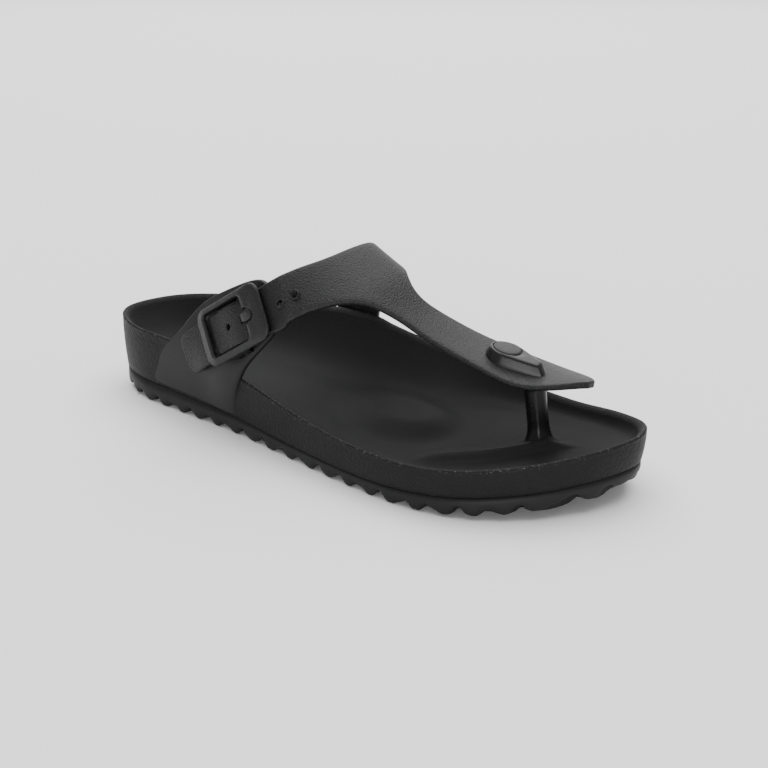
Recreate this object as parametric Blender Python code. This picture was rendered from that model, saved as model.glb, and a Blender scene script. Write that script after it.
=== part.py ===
"""A right-foot thong sandal with a buckled instep strap, as a set of separate moulded pieces.

+X points to the toe, +Y to the wearer's left (the big-toe side) and +Z up. Sizes are in millimetres
and become metres in the meshes. Along the sole, a place is given as a share of the sole's length.
"""

import math

import bmesh
import bpy
import numpy as np
from mathutils import Matrix, Vector

MM = 0.001
COLLECTION = "thong_sandal"

# Sole
SOLE_LENGTH = 256.0
BALL_WIDTH = 96.0
WALL_FLARE = 1.2  # how far the wall leans out from the tread line to the rim
RIM_WIDTH = 3.2
RIM_WIDTH_AT_UPPERS = 6.6
RIM_ROUND = 1.0
TREAD_PITCH = 11.5
TREAD_DEPTH = 3.2
TREAD_NOTCH = 7.6  # width of a tread notch at the ground
TREAD_ZIGZAG = 3.4
TREAD_ZIGZAG_STEP = 15.0
FIT_GAP = 0.3

# Uppers
WING_THICKNESS = 2.8
STRAP_THICKNESS = 2.8
STRAP_END_WIDTH = 18.6
CREST_Y = 5.0  # where the instep is highest
SPRING_LINE = 28.0  # height at which the uppers start to lean in
WING_LIFT = 0.6  # of the uppers' lower edges above the tread line

# Strap holes
HOLE_PITCH = 5.65
HOLE_DROP = 2.4  # of the last holes below the strap's middle line
HOLE_RADIUS = 1.5
HOLES = (0, 5, 6)  # round holes, in pitches from the axle; the prong is in the hole at 1
PRONG_SLOT = (4.9, 11.2)  # the prong hole, from end to end, ahead of the axle
PRONG_SLOT_WIDTH = 3.2

# Buckle
FRAME_WINDOW = 25.0
FRAME_REAR_BAR = 6.0
FRAME_FRONT_BAR = 10.6
FRAME_RAIL = 2.9
FRAME_BAR_HEIGHT = 3.6
SIDE_GAP = 0.4  # between the strap's edges and the frame's rails
AXLE_RADIUS = 1.0
AXLE_PLAY = 0.08
LUG_WALL = 0.9
RAIL_DEPTH_REACH = 7.0  # either side of the axle, within which the rails reach down to hold it
PRONG_WIRE_RADIUS = 1.0
PRONG_HEAD_WIDTH = 4.4
PRONG_HEAD_LENGTH = 6.4
PRONG_HEAD_HEIGHT = 1.8
PRONG_NOTCH_GAP = 0.45

# Toe post
POST_RADIUS = 4.7
POST_FOOT_RADIUS = 9.0
POST_NECK_RADIUS = 2.5
POST_SHANK_RADIUS = 3.0
ANCHOR_RADIUS = 7.0
ANCHOR_THICKNESS = 1.8
HEAD_RADIUS = 8.0
HEAD_TIP_HALF_WIDTH = 3.6
HEAD_LENGTH = 26.0
HEAD_HEIGHT = 4.4
HEAD_SEAT = 0.9  # clears the tongue's curve under the head's flat underside
RIVET_CAP_RADIUS = 5.9
RIVET_CAP_HEIGHT = 1.1
RIVET_SHANK_RADIUS = 1.6

# Plan of the rim: (share of the length, share of the ball width)
RIM_PLAN = [
    (0.000, -0.010), (0.016, -0.167), (0.086, -0.276), (0.195, -0.313), (0.332, -0.349),
    (0.469, -0.417), (0.605, -0.484), (0.723, -0.515), (0.820, -0.474), (0.902, -0.339),
    (0.961, -0.156), (0.996, 0.031), (1.000, 0.180), (0.969, 0.318), (0.895, 0.423),
    (0.781, 0.475), (0.664, 0.445), (0.527, 0.365), (0.391, 0.323), (0.234, 0.323),
    (0.117, 0.302), (0.031, 0.177),
]
HEEL_CENTRE = (0.117, 0.010)
TOE_CENTRE = (0.850, 0.060)

# Heights along the sole: (share of the length, height)
LATERAL_RIM = [(0, 36), (0.07, 35), (0.17, 34.5), (0.25, 32), (0.39, 27), (0.5, 22.5), (0.61, 19.6),
               (0.72, 19), (0.82, 20.8), (0.92, 24), (1, 27.5)]
MEDIAL_RIM = [(0, 36), (0.15, 38.5), (0.3, 41.5), (0.39, 44), (0.45, 43.4), (0.49, 40.4), (0.53, 37.6),
              (0.58, 34), (0.66, 27.5), (0.74, 22.5), (0.82, 21.2), (0.92, 23.8), (1, 27.5)]
TREAD_LINE = [(0, 11), (0.15, 10), (0.35, 8), (0.5, 6.6), (0.63, 6.3), (0.78, 8.2), (0.9, 11), (1, 14.5)]
FOOTBED = [(0, 23), (0.12, 20), (0.25, 20.5), (0.4, 20), (0.5, 18), (0.6, 15.5), (0.7, 14), (0.8, 14.3),
           (0.88, 16), (1, 21)]
CUP_POWER_LATERAL = [(0, 3.5), (0.3, 4), (0.5, 6), (0.7, 9), (1, 9)]
CUP_POWER_MEDIAL = [(0, 3.5), (0.25, 3), (0.45, 2.4), (0.6, 4), (0.75, 8), (1, 9)]
TOE_SPRING = 7.2
TOE_SPRING_FROM = 0.68
HEEL_SPRING = 3.0
HEEL_SPRING_TO = 0.14
PAD_CENTRE = (0.594, -0.02)
PAD_SIZE = (26.0, 19.0)
PAD_HEIGHT = 4.0
FOOT_CREST = [(0.1, 112), (0.39, 96.5), (0.45, 89), (0.496, 82.5), (0.547, 75), (0.574, 71), (0.603, 64.5),
              (0.645, 57), (0.691, 51.5), (0.738, 47), (0.8, 42.5), (0.84, 41), (0.92, 40.5)]

# The band's rear and front edges over the foot: (share of the length, turn about the instep in degrees)
BAND_EDGES = [
    ((0.437, -44), (0.475, -59)), ((0.454, -37.5), (0.512, -47)), ((0.470, -30.5), (0.539, -38)),
    ((0.483, -22), (0.565, -30.5)), ((0.491, -13), (0.586, -25)), ((0.495, -5), (0.597, -18)),
    ((0.496, 2), (0.600, -9)), ((0.494, 10), (0.598, -2)), ((0.489, 18), (0.588, 4)),
    ((0.480, 26), (0.566, 14)), ((0.466, 36), (0.548, 25)), ((0.440, 49), (0.522, 42)),
    ((0.408, 62), (0.484, 58)), ((0.374, 75), (0.457, 73)), ((0.345, 86), (0.448, 86)),
    ((0.325, 95), (0.450, 95)), ((0.312, 104), (0.457, 104)),
]
STEM_ROOT = (4, 8)  # the band's rows between which the stem springs from its front edge
# The stem's lateral and medial edges: (share of the length, y)
STEM_EDGES = [
    ((0.622, -10.4), (0.612, 7.2)), ((0.645, -9.6), (0.637, 11.0)), ((0.689, -8.4), (0.680, 15.6)),
    ((0.730, -7.0), (0.722, 20.5)), ((0.773, -6.2), (0.772, 28.0)), ((0.800, -6.2), (0.805, 30.4)),
    ((0.833, -5.0), (0.840, 30.6)), ((0.865, 1.0), (0.868, 28.8)), ((0.886, 8.0), (0.889, 25.6)),
    ((0.898, 13.5), (0.900, 21.5)),
]
BUCKLE_PLACE = (0.359, 50.0)  # share of the length, height
BUCKLE_CLIMB = 32.5
TAIL_END = (0.245, 30.0)
# The wing's rear and front edges, from its foot to its round end: (share of the length, height)
WING_REAR = [(0.130, 10.5), (0.132, 16.0), (0.142, 23.0), (0.165, 31.0), (0.202, 37.5), (0.224, 44.0),
             (0.245, 51.0), (0.275, 57.5), (0.310, 62.0), (0.345, 66.5), (0.382, 70.5), (0.404, 71.5),
             (0.416, 69.8)]
WING_FRONT = [(0.350, 9.0), (0.350, 15.0), (0.356, 21.0), (0.372, 30.0), (0.386, 35.5), (0.400, 39.5),
              (0.412, 43.0), (0.423, 46.0), (0.432, 48.5), (0.440, 51.0), (0.446, 54.0), (0.447, 58.0),
              (0.439, 62.4)]
POST_FOOT_PLACE = (0.843, 7.0)
POST_TOP_PLACE = (0.822, 8.8)
RIVET_PLACE = (0.767, 8.7)


def table(points):
    """A smooth function through (place, value) pairs that never overshoots them."""
    xs = np.array([p[0] for p in points], float)
    ys = np.array([p[1] for p in points], float)
    steps, slopes = np.diff(xs), np.diff(ys) / np.diff(xs)
    ends = [slopes[0]] + [0.0] * (len(xs) - 2) + [slopes[-1]]
    for i in range(1, len(xs) - 1):
        if slopes[i - 1] * slopes[i] > 0:
            w1, w2 = 2 * steps[i] + steps[i - 1], steps[i] + 2 * steps[i - 1]
            ends[i] = (w1 + w2) / (w1 / slopes[i - 1] + w2 / slopes[i])

    def value(x):
        i = int(np.clip(np.searchsorted(xs, x) - 1, 0, len(steps) - 1))
        if x <= xs[0] or x >= xs[-1]:
            end = 0 if x <= xs[0] else -1
            return float(ys[end] + ends[end] * (x - xs[end]))
        h, t = steps[i], (x - xs[i]) / steps[i]
        return float(
            ys[i] * (1 + 2 * t) * (1 - t) ** 2 + h * ends[i] * t * (1 - t) ** 2
            + ys[i + 1] * t * t * (3 - 2 * t) + h * ends[i + 1] * t * t * (t - 1)
        )

    return value


def closed_plan(points, count=480):
    """Points along a smooth closed curve (Catmull-Rom) through the given ones."""
    pts = [np.array([u * SOLE_LENGTH, v * BALL_WIDTH]) for u, v in points]
    each, out = count // len(pts), []
    for i in range(len(pts)):
        a, b, c, d = (pts[(i + k) % len(pts)] for k in (-1, 0, 1, 2))
        for k in range(each):
            t = k / each
            out.append(0.5 * (2 * b + (c - a) * t + (2 * a - 5 * b + 4 * c - d) * t * t
                              + (3 * b - a - 3 * c + d) * t ** 3))
    return np.array(out)


PLAN = closed_plan(RIM_PLAN)
PLAN_CENTRE = (PLAN.min(axis=0) + PLAN.max(axis=0)) / 2
SANDAL_SHIFT = (-float(PLAN_CENTRE[0]), -float(PLAN_CENTRE[1]), 0.0)  # puts the plan's middle at the origin
rim_lateral, rim_medial = table(LATERAL_RIM), table(MEDIAL_RIM)
tread_line, footbed_height = table(TREAD_LINE), table(FOOTBED)
cup_lateral, cup_medial = table(CUP_POWER_LATERAL), table(CUP_POWER_MEDIAL)
foot_crest = table(FOOT_CREST)


def smoothstep(x, low, high):
    t = min(1.0, max(0.0, (x - low) / (high - low)))
    return t * t * (3 - 2 * t)


def plan_edge(x, side):
    """The rim's y at x, on the lateral side (-1) or the medial side (+1)."""
    half = len(PLAN) * RIM_PLAN.index((1.000, 0.180)) // len(RIM_PLAN)
    run = PLAN[:half] if side < 0 else PLAN[half:][::-1]
    order = np.argsort(run[:, 0])
    return float(np.interp(x, run[order, 0], run[order, 1]))


def spring(x):
    """Height of the tread's underside, which lifts at the toe and a little at the heel."""
    u = x / SOLE_LENGTH
    toe = max(0.0, (u - TOE_SPRING_FROM) / (1 - TOE_SPRING_FROM))
    heel = max(0.0, (HEEL_SPRING_TO - u) / HEEL_SPRING_TO)
    return TOE_SPRING * toe ** 2 + HEEL_SPRING * heel ** 2


# ---- stations round the sole ---------------------------------------------------------------


def ray_to_plan(centre, angle):
    """The plan's point in the direction angle from centre."""
    around = np.unwrap(np.arctan2(PLAN[:, 1] - centre[1], PLAN[:, 0] - centre[0]))
    turn = 2 * math.pi
    for shifted in (angle - 2 * turn, angle - turn, angle, angle + turn, angle + 2 * turn):
        if around[0] <= shifted <= around[-1] or around[-1] <= shifted <= around[0]:
            order = np.argsort(around)
            index = np.interp(shifted, around[order], np.arange(len(PLAN))[order])
            low = int(index) % len(PLAN)
            share = index - int(index)
            return PLAN[low] * (1 - share) + PLAN[(low + 1) % len(PLAN)] * share
    nearest = int(np.argmin(np.abs((around - angle + math.pi) % turn - math.pi)))
    return PLAN[nearest]


def sole_stations(straight=20, heel=12, toe=11):
    """Stations round the rim: (rim point, the point of the sole's middle line it faces, side)."""
    heel_c = np.array([HEEL_CENTRE[0] * SOLE_LENGTH, HEEL_CENTRE[1] * BALL_WIDTH])
    toe_c = np.array([TOE_CENTRE[0] * SOLE_LENGTH, TOE_CENTRE[1] * BALL_WIDTH])
    xs = np.linspace(heel_c[0], toe_c[0], straight)
    ys = np.linspace(heel_c[1], toe_c[1], straight)
    found = []
    for x, y in zip(xs, ys):
        found.append((np.array([x, plan_edge(x, -1)]), np.array([x, y])))
    for i in range(1, toe):
        angle = math.radians(-90 + 180 * i / toe)
        found.append((ray_to_plan(toe_c, angle), toe_c))
    for x, y in zip(xs[::-1], ys[::-1]):
        found.append((np.array([x, plan_edge(x, 1)]), np.array([x, y])))
    for i in range(1, heel):
        angle = math.radians(90 + 180 * i / heel)
        found.append((ray_to_plan(heel_c, angle), heel_c))
    rim = np.array([f[0] for f in found])
    along = np.roll(rim, -1, axis=0) - np.roll(rim, 1, axis=0)
    out = np.stack([along[:, 1], -along[:, 0]], axis=1)
    out /= np.linalg.norm(out, axis=1)[:, None]
    return rim, np.array([f[1] for f in found]), out


def medial_share(x, y):
    """0 on the lateral side and 1 on the medial side, with a smooth change between."""
    return smoothstep(y, -0.12 * BALL_WIDTH, 0.22 * BALL_WIDTH)


def rim_height(x, y):
    u = min(1.0, max(0.0, x / SOLE_LENGTH))
    share = medial_share(x, y)
    return rim_lateral(u) * (1 - share) + rim_medial(u) * share


def rim_width(x):
    """The rim is wider where the wing and the strap's quarter are let into it."""
    u = x / SOLE_LENGTH
    wide = smoothstep(u, 0.06, 0.13) * (1 - smoothstep(u, 0.49, 0.56))
    return RIM_WIDTH + (RIM_WIDTH_AT_UPPERS - RIM_WIDTH) * wide


def footbed_point(rim, middle, out, share):
    """A point of the footbed's upper face, share of the way from the middle line to the rim's inner edge."""
    edge = rim - out * rim_width(rim[0])
    x, y = middle + (edge - middle) * share
    u = min(1.0, max(0.0, x / SOLE_LENGTH))
    side = medial_share(rim[0], rim[1])
    power = cup_lateral(u) * (1 - side) + cup_medial(u) * side
    low, high = footbed_height(u), rim_height(rim[0], rim[1]) - RIM_ROUND
    pad_u = (x - PAD_CENTRE[0] * SOLE_LENGTH) / PAD_SIZE[0]
    pad_v = (y - PAD_CENTRE[1] * BALL_WIDTH) / PAD_SIZE[1]
    pad = PAD_HEIGHT * max(0.0, 1 - pad_u ** 2 - pad_v ** 2) ** 1.5
    return (x, y, low + (high - low) * share ** power + pad * (1 - share ** 4))


# ---- the surface that the uppers lie on ----------------------------------------------------


def last_point(x, turn):
    """A point of the foot's surface at x, turned about the instep: 0 is the crest, -90 the lateral
    spring line and 90 the medial one, below which it drops straight down the sole's wall."""
    side = -1 if turn < 0 else 1
    thickness = WING_THICKNESS if side < 0 else STRAP_THICKNESS
    reach = abs(plan_edge(x, side) - CREST_Y) - thickness
    rise = foot_crest(x / SOLE_LENGTH) - SPRING_LINE
    angle = math.radians(abs(turn))
    if angle <= math.pi / 2:
        return np.array([x, CREST_Y + side * reach * math.sin(angle), SPRING_LINE + rise * math.cos(angle)])
    drop = (angle - math.pi / 2) * rise
    lean = WALL_FLARE * drop / (SPRING_LINE - tread_line(x / SOLE_LENGTH))
    return np.array([x, CREST_Y + side * (reach - lean), SPRING_LINE - drop])


def last_turn(x, height, side):
    """The turn at which last_point is at this height."""
    rise = foot_crest(x / SOLE_LENGTH) - SPRING_LINE
    if height >= SPRING_LINE:
        return side * math.degrees(math.acos(min(1.0, (height - SPRING_LINE) / rise)))
    return side * (90 + math.degrees((SPRING_LINE - height) / rise))


def stem_turn(x, y):
    """The turn at which last_point is at this y, near the crest."""
    side = -1 if y < CREST_Y else 1
    thickness = WING_THICKNESS if side < 0 else STRAP_THICKNESS
    reach = abs(plan_edge(x, side) - CREST_Y) - thickness
    return side * math.degrees(math.asin(min(1.0, abs(y - CREST_Y) / reach)))


def last_normal(x, turn):
    dx = last_point(x + 0.5, turn) - last_point(x - 0.5, turn)
    dt = last_point(x, turn + 0.5) - last_point(x, turn - 0.5)
    normal = np.cross(dx, dt)
    normal /= np.linalg.norm(normal)
    point = last_point(x, turn)
    outward = point - np.array([x, CREST_Y, SPRING_LINE])
    outward[0] = 0
    return normal if normal @ outward > 0 else -normal


def buckle_axes():
    """The buckle's place on the foot's surface: origin, along the strap, across it and outwards."""
    x, height = BUCKLE_PLACE[0] * SOLE_LENGTH, BUCKLE_PLACE[1]
    turn = last_turn(x, height, -1)
    origin, outward = last_point(x, turn), last_normal(x, turn)
    climb = math.radians(BUCKLE_CLIMB)
    along = np.array([math.cos(climb), 0.0, math.sin(climb)])
    along -= outward * (along @ outward)
    along /= np.linalg.norm(along)
    return origin, along, np.cross(along, outward), outward


BUCKLE_O, BUCKLE_ALONG, BUCKLE_ACROSS, BUCKLE_OUT = buckle_axes()
WINDOW_REAR, WINDOW_FRONT = -FRAME_WINDOW / 2 - 0.2, FRAME_WINDOW / 2 - 0.2
FRAME_REAR, FRAME_FRONT = WINDOW_REAR - FRAME_REAR_BAR, WINDOW_FRONT + FRAME_FRONT_BAR
FRAME_HALF_WIDTH = STRAP_END_WIDTH / 2 + SIDE_GAP + FRAME_RAIL
LUG_RADIUS = AXLE_RADIUS + AXLE_PLAY + LUG_WALL
AXLE_LIFT = WING_THICKNESS + 0.6  # of the axle above the foot's surface
STRAP_ON_WING = WING_THICKNESS + FIT_GAP
STRAP_HUMP = AXLE_LIFT + LUG_RADIUS + FIT_GAP - STRAP_ON_WING  # where the strap crosses the axle
BAR_LIFT = STRAP_ON_WING + STRAP_THICKNESS + 0.5
FRAME_TOP = BAR_LIFT + FRAME_BAR_HEIGHT


def buckle_point(s, t, lift):
    return BUCKLE_O + BUCKLE_ALONG * s + BUCKLE_ACROSS * t + BUCKLE_OUT * lift


def on_last(x, turn, lift):
    """A point lift above the foot's surface, which is drawn to the buckle's plane near the buckle."""
    point = last_point(x, turn)
    offset = point - BUCKLE_O
    s, t = abs(offset @ BUCKLE_ALONG), abs(offset @ BUCKLE_ACROSS)
    near = (1 - smoothstep(max(s - 4, t), 16, 30)) * (1 - smoothstep(abs(offset @ BUCKLE_OUT), 14, 22))
    normal = last_normal(x, turn) * (1 - near) + BUCKLE_OUT * near
    return point - BUCKLE_OUT * near * (offset @ BUCKLE_OUT) + normal / np.linalg.norm(normal) * lift


# ---- Blender helpers -----------------------------------------------------------------------


def clear_scene():
    for obj in list(bpy.data.objects):
        bpy.data.objects.remove(obj, do_unlink=True)


def new_collection(name):
    made = bpy.data.collections.new(name)
    bpy.context.scene.collection.children.link(made)
    return made


def material(name, colour, roughness, metallic=0.0):
    made = bpy.data.materials.new(name)
    made.use_nodes = True
    shader = made.node_tree.nodes["Principled BSDF"]
    shader.inputs["Base Color"].default_value = (*colour, 1)
    shader.inputs["Roughness"].default_value = roughness
    shader.inputs["Metallic"].default_value = metallic
    return made


def to_object(name, bm, collection, finish=None):
    """An object from a bmesh drawn in sandal millimetres, moved to metres about the sandal's own origin."""
    bmesh.ops.recalc_face_normals(bm, faces=bm.faces)
    if bm.calc_volume(signed=True) < 0:
        bmesh.ops.reverse_faces(bm, faces=bm.faces)
    bm.transform(Matrix.Scale(MM, 4) @ Matrix.Translation(Vector(SANDAL_SHIFT)))
    mesh = bpy.data.meshes.new(name)
    bm.to_mesh(mesh)
    bm.free()
    mesh.shade_smooth()
    mesh.set_sharp_from_angle(angle=math.radians(35))
    obj = bpy.data.objects.new(name, mesh)
    collection.objects.link(obj)
    if finish:
        mesh.materials.append(finish)
    return obj


def loft(rings, cap_first=True, cap_last=True):
    """A bmesh through closed rings of equal length, with flat or fanned ends."""
    bm = bmesh.new()
    rows = [[bm.verts.new(p) for p in ring] for ring in rings]
    for a, b in zip(rows, rows[1:]):
        for i in range(len(a)):
            j = (i + 1) % len(a)
            bm.faces.new((a[i], a[j], b[j], b[i]))
    if cap_first:
        bm.faces.new(rows[0][::-1])
    if cap_last:
        bm.faces.new(rows[-1])
    return bm


def plate(lower, upper, quads):
    """A solid between two matching sets of points, joined by quads, with a wall round every free edge."""
    bm = bmesh.new()
    low, high = [bm.verts.new(p) for p in lower], [bm.verts.new(p) for p in upper]
    used = {}
    for quad in quads:
        bm.faces.new([low[i] for i in quad][::-1])
        bm.faces.new([high[i] for i in quad])
        for a, b in zip(quad, quad[1:] + quad[:1]):
            used[(a, b)] = True
    for a, b in used:
        if (b, a) not in used:
            bm.faces.new((low[a], low[b], high[b], high[a]))
    return bm


def grid_quads(grid):
    """Quads over a grid of point numbers."""
    return [(grid[i][j], grid[i][j + 1], grid[i + 1][j + 1], grid[i + 1][j])
            for i in range(len(grid) - 1) for j in range(len(grid[0]) - 1)]


def cylinder(start, end, radius, segments=20):
    """A bmesh cylinder or cone between two points."""
    start, end = Vector(start), Vector(end)
    axis = end - start
    bm = bmesh.new()
    bmesh.ops.create_cone(bm, cap_ends=True, segments=segments, radius1=radius,
                          radius2=radius, depth=axis.length)
    turn = axis.to_track_quat("Z", "Y").to_matrix().to_4x4()
    bm.transform(Matrix.Translation((start + end) / 2) @ turn)
    return bm


def buckle_box(s, t, lift):
    """A bmesh box in the buckle's own directions, between pairs of limits."""
    bm = bmesh.new()
    bmesh.ops.create_cube(bm, size=1)
    for vert in bm.verts:
        place = [limits[0] if part < 0 else limits[1] for limits, part in zip((s, t, lift), vert.co)]
        vert.co = buckle_point(*place)
    return bm


def hang_on_axle(obj):
    """Moves a moving piece's origin onto the buckle's axle, leaving the piece where it is."""
    axle = (Vector(buckle_point(0, 0, AXLE_LIFT)) + Vector(SANDAL_SHIFT)) * MM
    obj.data.transform(Matrix.Translation(-axle))
    obj.location = axle


def boolean(target, tool, operation="DIFFERENCE"):
    modifier = target.modifiers.new(tool.name, "BOOLEAN")
    modifier.operation = operation
    modifier.object = tool
    modifier.solver = "EXACT"


def helper(name, bm, collection):
    """A cutter or a joined shape, which isn't a part itself."""
    obj = to_object(name, bm, collection)
    obj.hide_render = True
    obj.display_type = "WIRE"
    return obj


# ---- sole ----------------------------------------------------------------------------------


def sole_rings(stations, outlines):
    rim, middle, out = stations
    return [[ring(rim[i], middle[i], out[i]) for i in range(len(rim))] for ring in outlines]


def footbed(collection, finish, cutters):
    """The moulded footbed: underside, flared wall, rounded rim and contoured upper face."""

    def wall(inset, rise, from_rim):
        def point(rim, middle, out):
            x, y = rim - out * inset
            base = tread_line(min(1.0, max(0.0, rim[0] / SOLE_LENGTH))) + FIT_GAP
            return (x, y, rim_height(*rim) + rise if from_rim else base + rise)
        return point

    def under(share):
        def point(rim, middle, out):
            x, y = middle + (rim - out * (WALL_FLARE + 1) - middle) * share
            return (x, y, tread_line(min(1.0, max(0.0, x / SOLE_LENGTH))) + FIT_GAP)
        return point

    def upper(share):
        return lambda rim, middle, out: footbed_point(rim, middle, out, share)

    def lip(rim, middle, out):
        x, y = rim - out * (rim_width(rim[0]) - RIM_ROUND)
        return (x, y, rim_height(*rim))

    section = [under(0), under(0.5), under(0.93), under(1), wall(WALL_FLARE, 1, False), wall(0, -6, True),
               wall(0, -RIM_ROUND, True), wall(RIM_ROUND, 0, True), lip, upper(1), upper(0.97), upper(0.9),
               upper(0.78), upper(0.6), upper(0.36), upper(0)]
    rings = sole_rings(sole_stations(), section)
    bm = loft(rings, cap_first=False, cap_last=False)
    bmesh.ops.remove_doubles(bm, verts=bm.verts, dist=0.001)
    body = to_object("footbed", bm, collection, finish)
    for cutter in cutters:
        boolean(body, cutter)
    return body


def tread_notch(x, reach):
    """One zigzag notch across the tread: rounded lugs are left between neighbouring ones."""
    half, depth = TREAD_NOTCH / 2, TREAD_DEPTH
    section = [(-half - 0.6, -2.0), (-half, 0), (-half * 0.45, depth * 0.45), (0, depth),
               (half * 0.45, depth * 0.45), (half, 0), (half + 0.6, -2.0)]
    steps = int(2 * reach / TREAD_ZIGZAG_STEP) + 1
    rings = []
    for i in range(steps + 1):
        y = (i - steps / 2) * TREAD_ZIGZAG_STEP
        centre = x + (TREAD_ZIGZAG / 2 if i % 2 else -TREAD_ZIGZAG / 2)
        rings.append([(centre + sx, y, spring(centre + sx) + sz) for sx, sz in section])
    return loft(rings)


def outsole(collection, finish):
    """The lugged tread layer under the footbed."""

    def face(share, top):
        def point(rim, middle, out):
            edge = rim - out * (WALL_FLARE + 0.4 if top else WALL_FLARE + 1.6)
            x, y = middle + (edge - middle) * share
            u = min(1.0, max(0.0, x / SOLE_LENGTH))
            return (x, y, tread_line(u) if top else spring(x))
        return point

    def side(inset, rise):
        def point(rim, middle, out):
            x, y = rim - out * inset
            return (x, y, spring(x) + rise)
        return point

    rings = sole_rings(sole_stations(), [face(0, True), face(0.5, True), face(1, True),
                                         side(WALL_FLARE + 0.2, 4.2), face(1, False), face(0.5, False),
                                         face(0, False)])
    bm = loft(rings, cap_first=False, cap_last=False)
    bmesh.ops.remove_doubles(bm, verts=bm.verts, dist=0.001)
    body = to_object("outsole", bm, collection, finish)
    return body


def tread_cutters(collection):
    """All the tread's notches, as one cutter."""
    joined = bmesh.new()
    count = int((SOLE_LENGTH - 2 * TREAD_PITCH) / TREAD_PITCH) + 1
    first = (SOLE_LENGTH - (count - 1) * TREAD_PITCH) / 2
    for i in range(count):
        one = tread_notch(first + i * TREAD_PITCH, BALL_WIDTH * 0.62)
        mesh = bpy.data.meshes.new("notch")
        one.to_mesh(mesh)
        one.free()
        joined.from_mesh(mesh)
        bpy.data.meshes.remove(mesh)
    return helper("tread_notches", joined, collection)


# ---- uppers --------------------------------------------------------------------------------


def wing_rows(grow=0.0, columns=6):
    """The wing as rows from its foot to its round end, each from rear to front, on the foot's surface."""
    out = []
    for (u_rear, z_rear), (u_front, z_front) in zip(WING_REAR, WING_FRONT):
        rear, front = np.array([u_rear * SOLE_LENGTH, z_rear]), np.array([u_front * SOLE_LENGTH, z_front])
        outward = (front - rear) / np.linalg.norm(front - rear) * grow
        rear, front = rear - outward, front + outward
        out.append([rear + (front - rear) * j / (columns - 1) for j in range(columns)])
    for point in out[0]:
        point[1] = tread_line(point[0] / SOLE_LENGTH) + FIT_GAP + WING_LIFT - grow
    return [[(x, last_turn(x, z, -1)) for x, z in row] for row in out]


def wing_solid(lower_lift, upper_lift, grow=0.0):
    rows = wing_rows(grow)
    places = [place for row in rows for place in row]
    grid = [[i * len(rows[0]) + j for j in range(len(rows[0]))] for i in range(len(rows))]
    return plate([on_last(x, turn, lower_lift) for x, turn in places],
                 [on_last(x, turn, upper_lift) for x, turn in places], grid_quads(grid))


def lateral_quarter(collection, cutters, finish):
    """The side wing that carries the buckle: a moulded tab with a ridge bored for the buckle's axle."""
    body = to_object("lateral_quarter", wing_solid(0, WING_THICKNESS), collection, finish)
    half = STRAP_END_WIDTH / 2
    ridge = cylinder(buckle_point(0, -half + 0.3, AXLE_LIFT), buckle_point(0, half - 0.3, AXLE_LIFT),
                     LUG_RADIUS)
    boolean(body, helper("axle_ridge", ridge, cutters), "UNION")
    bore = cylinder(buckle_point(0, -half - 3, AXLE_LIFT), buckle_point(0, half + 3, AXLE_LIFT),
                    AXLE_RADIUS + AXLE_PLAY)
    boolean(body, helper("axle_bore", bore, cutters))
    side = PRONG_WIRE_RADIUS + PRONG_NOTCH_GAP
    notch = buckle_box((-LUG_RADIUS - 1.2, 9.0), (-side, side), (AXLE_LIFT - LUG_RADIUS - 0.5, AXLE_LIFT + 4))
    boolean(body, helper("prong_notch", notch, cutters))
    inner, outer = FRAME_HALF_WIDTH - FRAME_RAIL - 0.35, FRAME_HALF_WIDTH + 0.35
    for index, limits in enumerate(((-outer, -inner), (inner, outer))):
        slot = buckle_box((-RAIL_DEPTH_REACH, RAIL_DEPTH_REACH), limits, (-2, STRAP_ON_WING + 2))
        boolean(body, helper(f"rail_slot_{index}", slot, cutters))
    return body


def strap_lift(point):
    """How far the strap's underside stands off the foot's surface: on the wing, over the axle, or 0."""
    offset = point - BUCKLE_O
    s, t = offset @ BUCKLE_ALONG, abs(offset @ BUCKLE_ACROSS)
    on_wing = 1 - smoothstep(max(s, t), FRAME_FRONT + 7, FRAME_FRONT + 22) + 0.2 * smoothstep(-s, 18, 27)
    over_axle = smoothstep(s, WINDOW_REAR + 0.5, -2.6) * (1 - smoothstep(s, 6.2, WINDOW_FRONT - 0.4))
    return STRAP_ON_WING * on_wing + STRAP_HUMP * over_axle * (1 if t < STRAP_END_WIDTH else 0)


def buckle_place(s, t):
    """The (x, turn) whose point on the flattened surface is s along the strap and t across it."""
    target = buckle_point(s, t, 0)
    x, z = target[0], target[2]
    for _ in range(4):
        point = on_last(x, last_turn(x, z, -1), 0)
        x, z = x + target[0] - point[0], z + target[2] - point[2]
    return (x, last_turn(x, z, -1))


def strap_rows(columns=5):
    """The band's rows from the tail to the quarter's lower edge, each from its rear edge to its front one."""
    rows = []
    half = STRAP_END_WIDTH / 2
    tail = -math.hypot((BUCKLE_PLACE[0] - TAIL_END[0]) * SOLE_LENGTH, BUCKLE_PLACE[1] - TAIL_END[1])
    for s, share in ((tail, 0.72), (tail + 1.2, 0.9), (tail + 3.5, 1.0)):
        rows.append([buckle_place(s + (0 if abs(c) < 1 else 0.6), c * half * share) for c in spread(columns)])
    for s in (-28, -24, FRAME_REAR - 1, WINDOW_REAR + 0.8, -6.5, -2.6, 1.5, 6.2, 9.0, WINDOW_FRONT - 0.4,
              17, 21, FRAME_FRONT + 2, FRAME_FRONT + 5.5):
        wider = 2.4 * smoothstep(s, WINDOW_FRONT, FRAME_FRONT + 2)
        rows.append([buckle_place(s, c * half + max(0.0, c) * wider) for c in spread(columns)])
    sections = []
    for (u_rear, turn_rear), (u_front, turn_front) in BAND_EDGES:
        sections.append([(u_rear + (u_front - u_rear) * (c + 1) / 2, turn_rear + (turn_front - turn_rear)
                          * (c + 1) / 2) for c in spread(columns)])
    rows += [[(u * SOLE_LENGTH, turn) for u, turn in section] for section in sections]
    return rows


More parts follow.
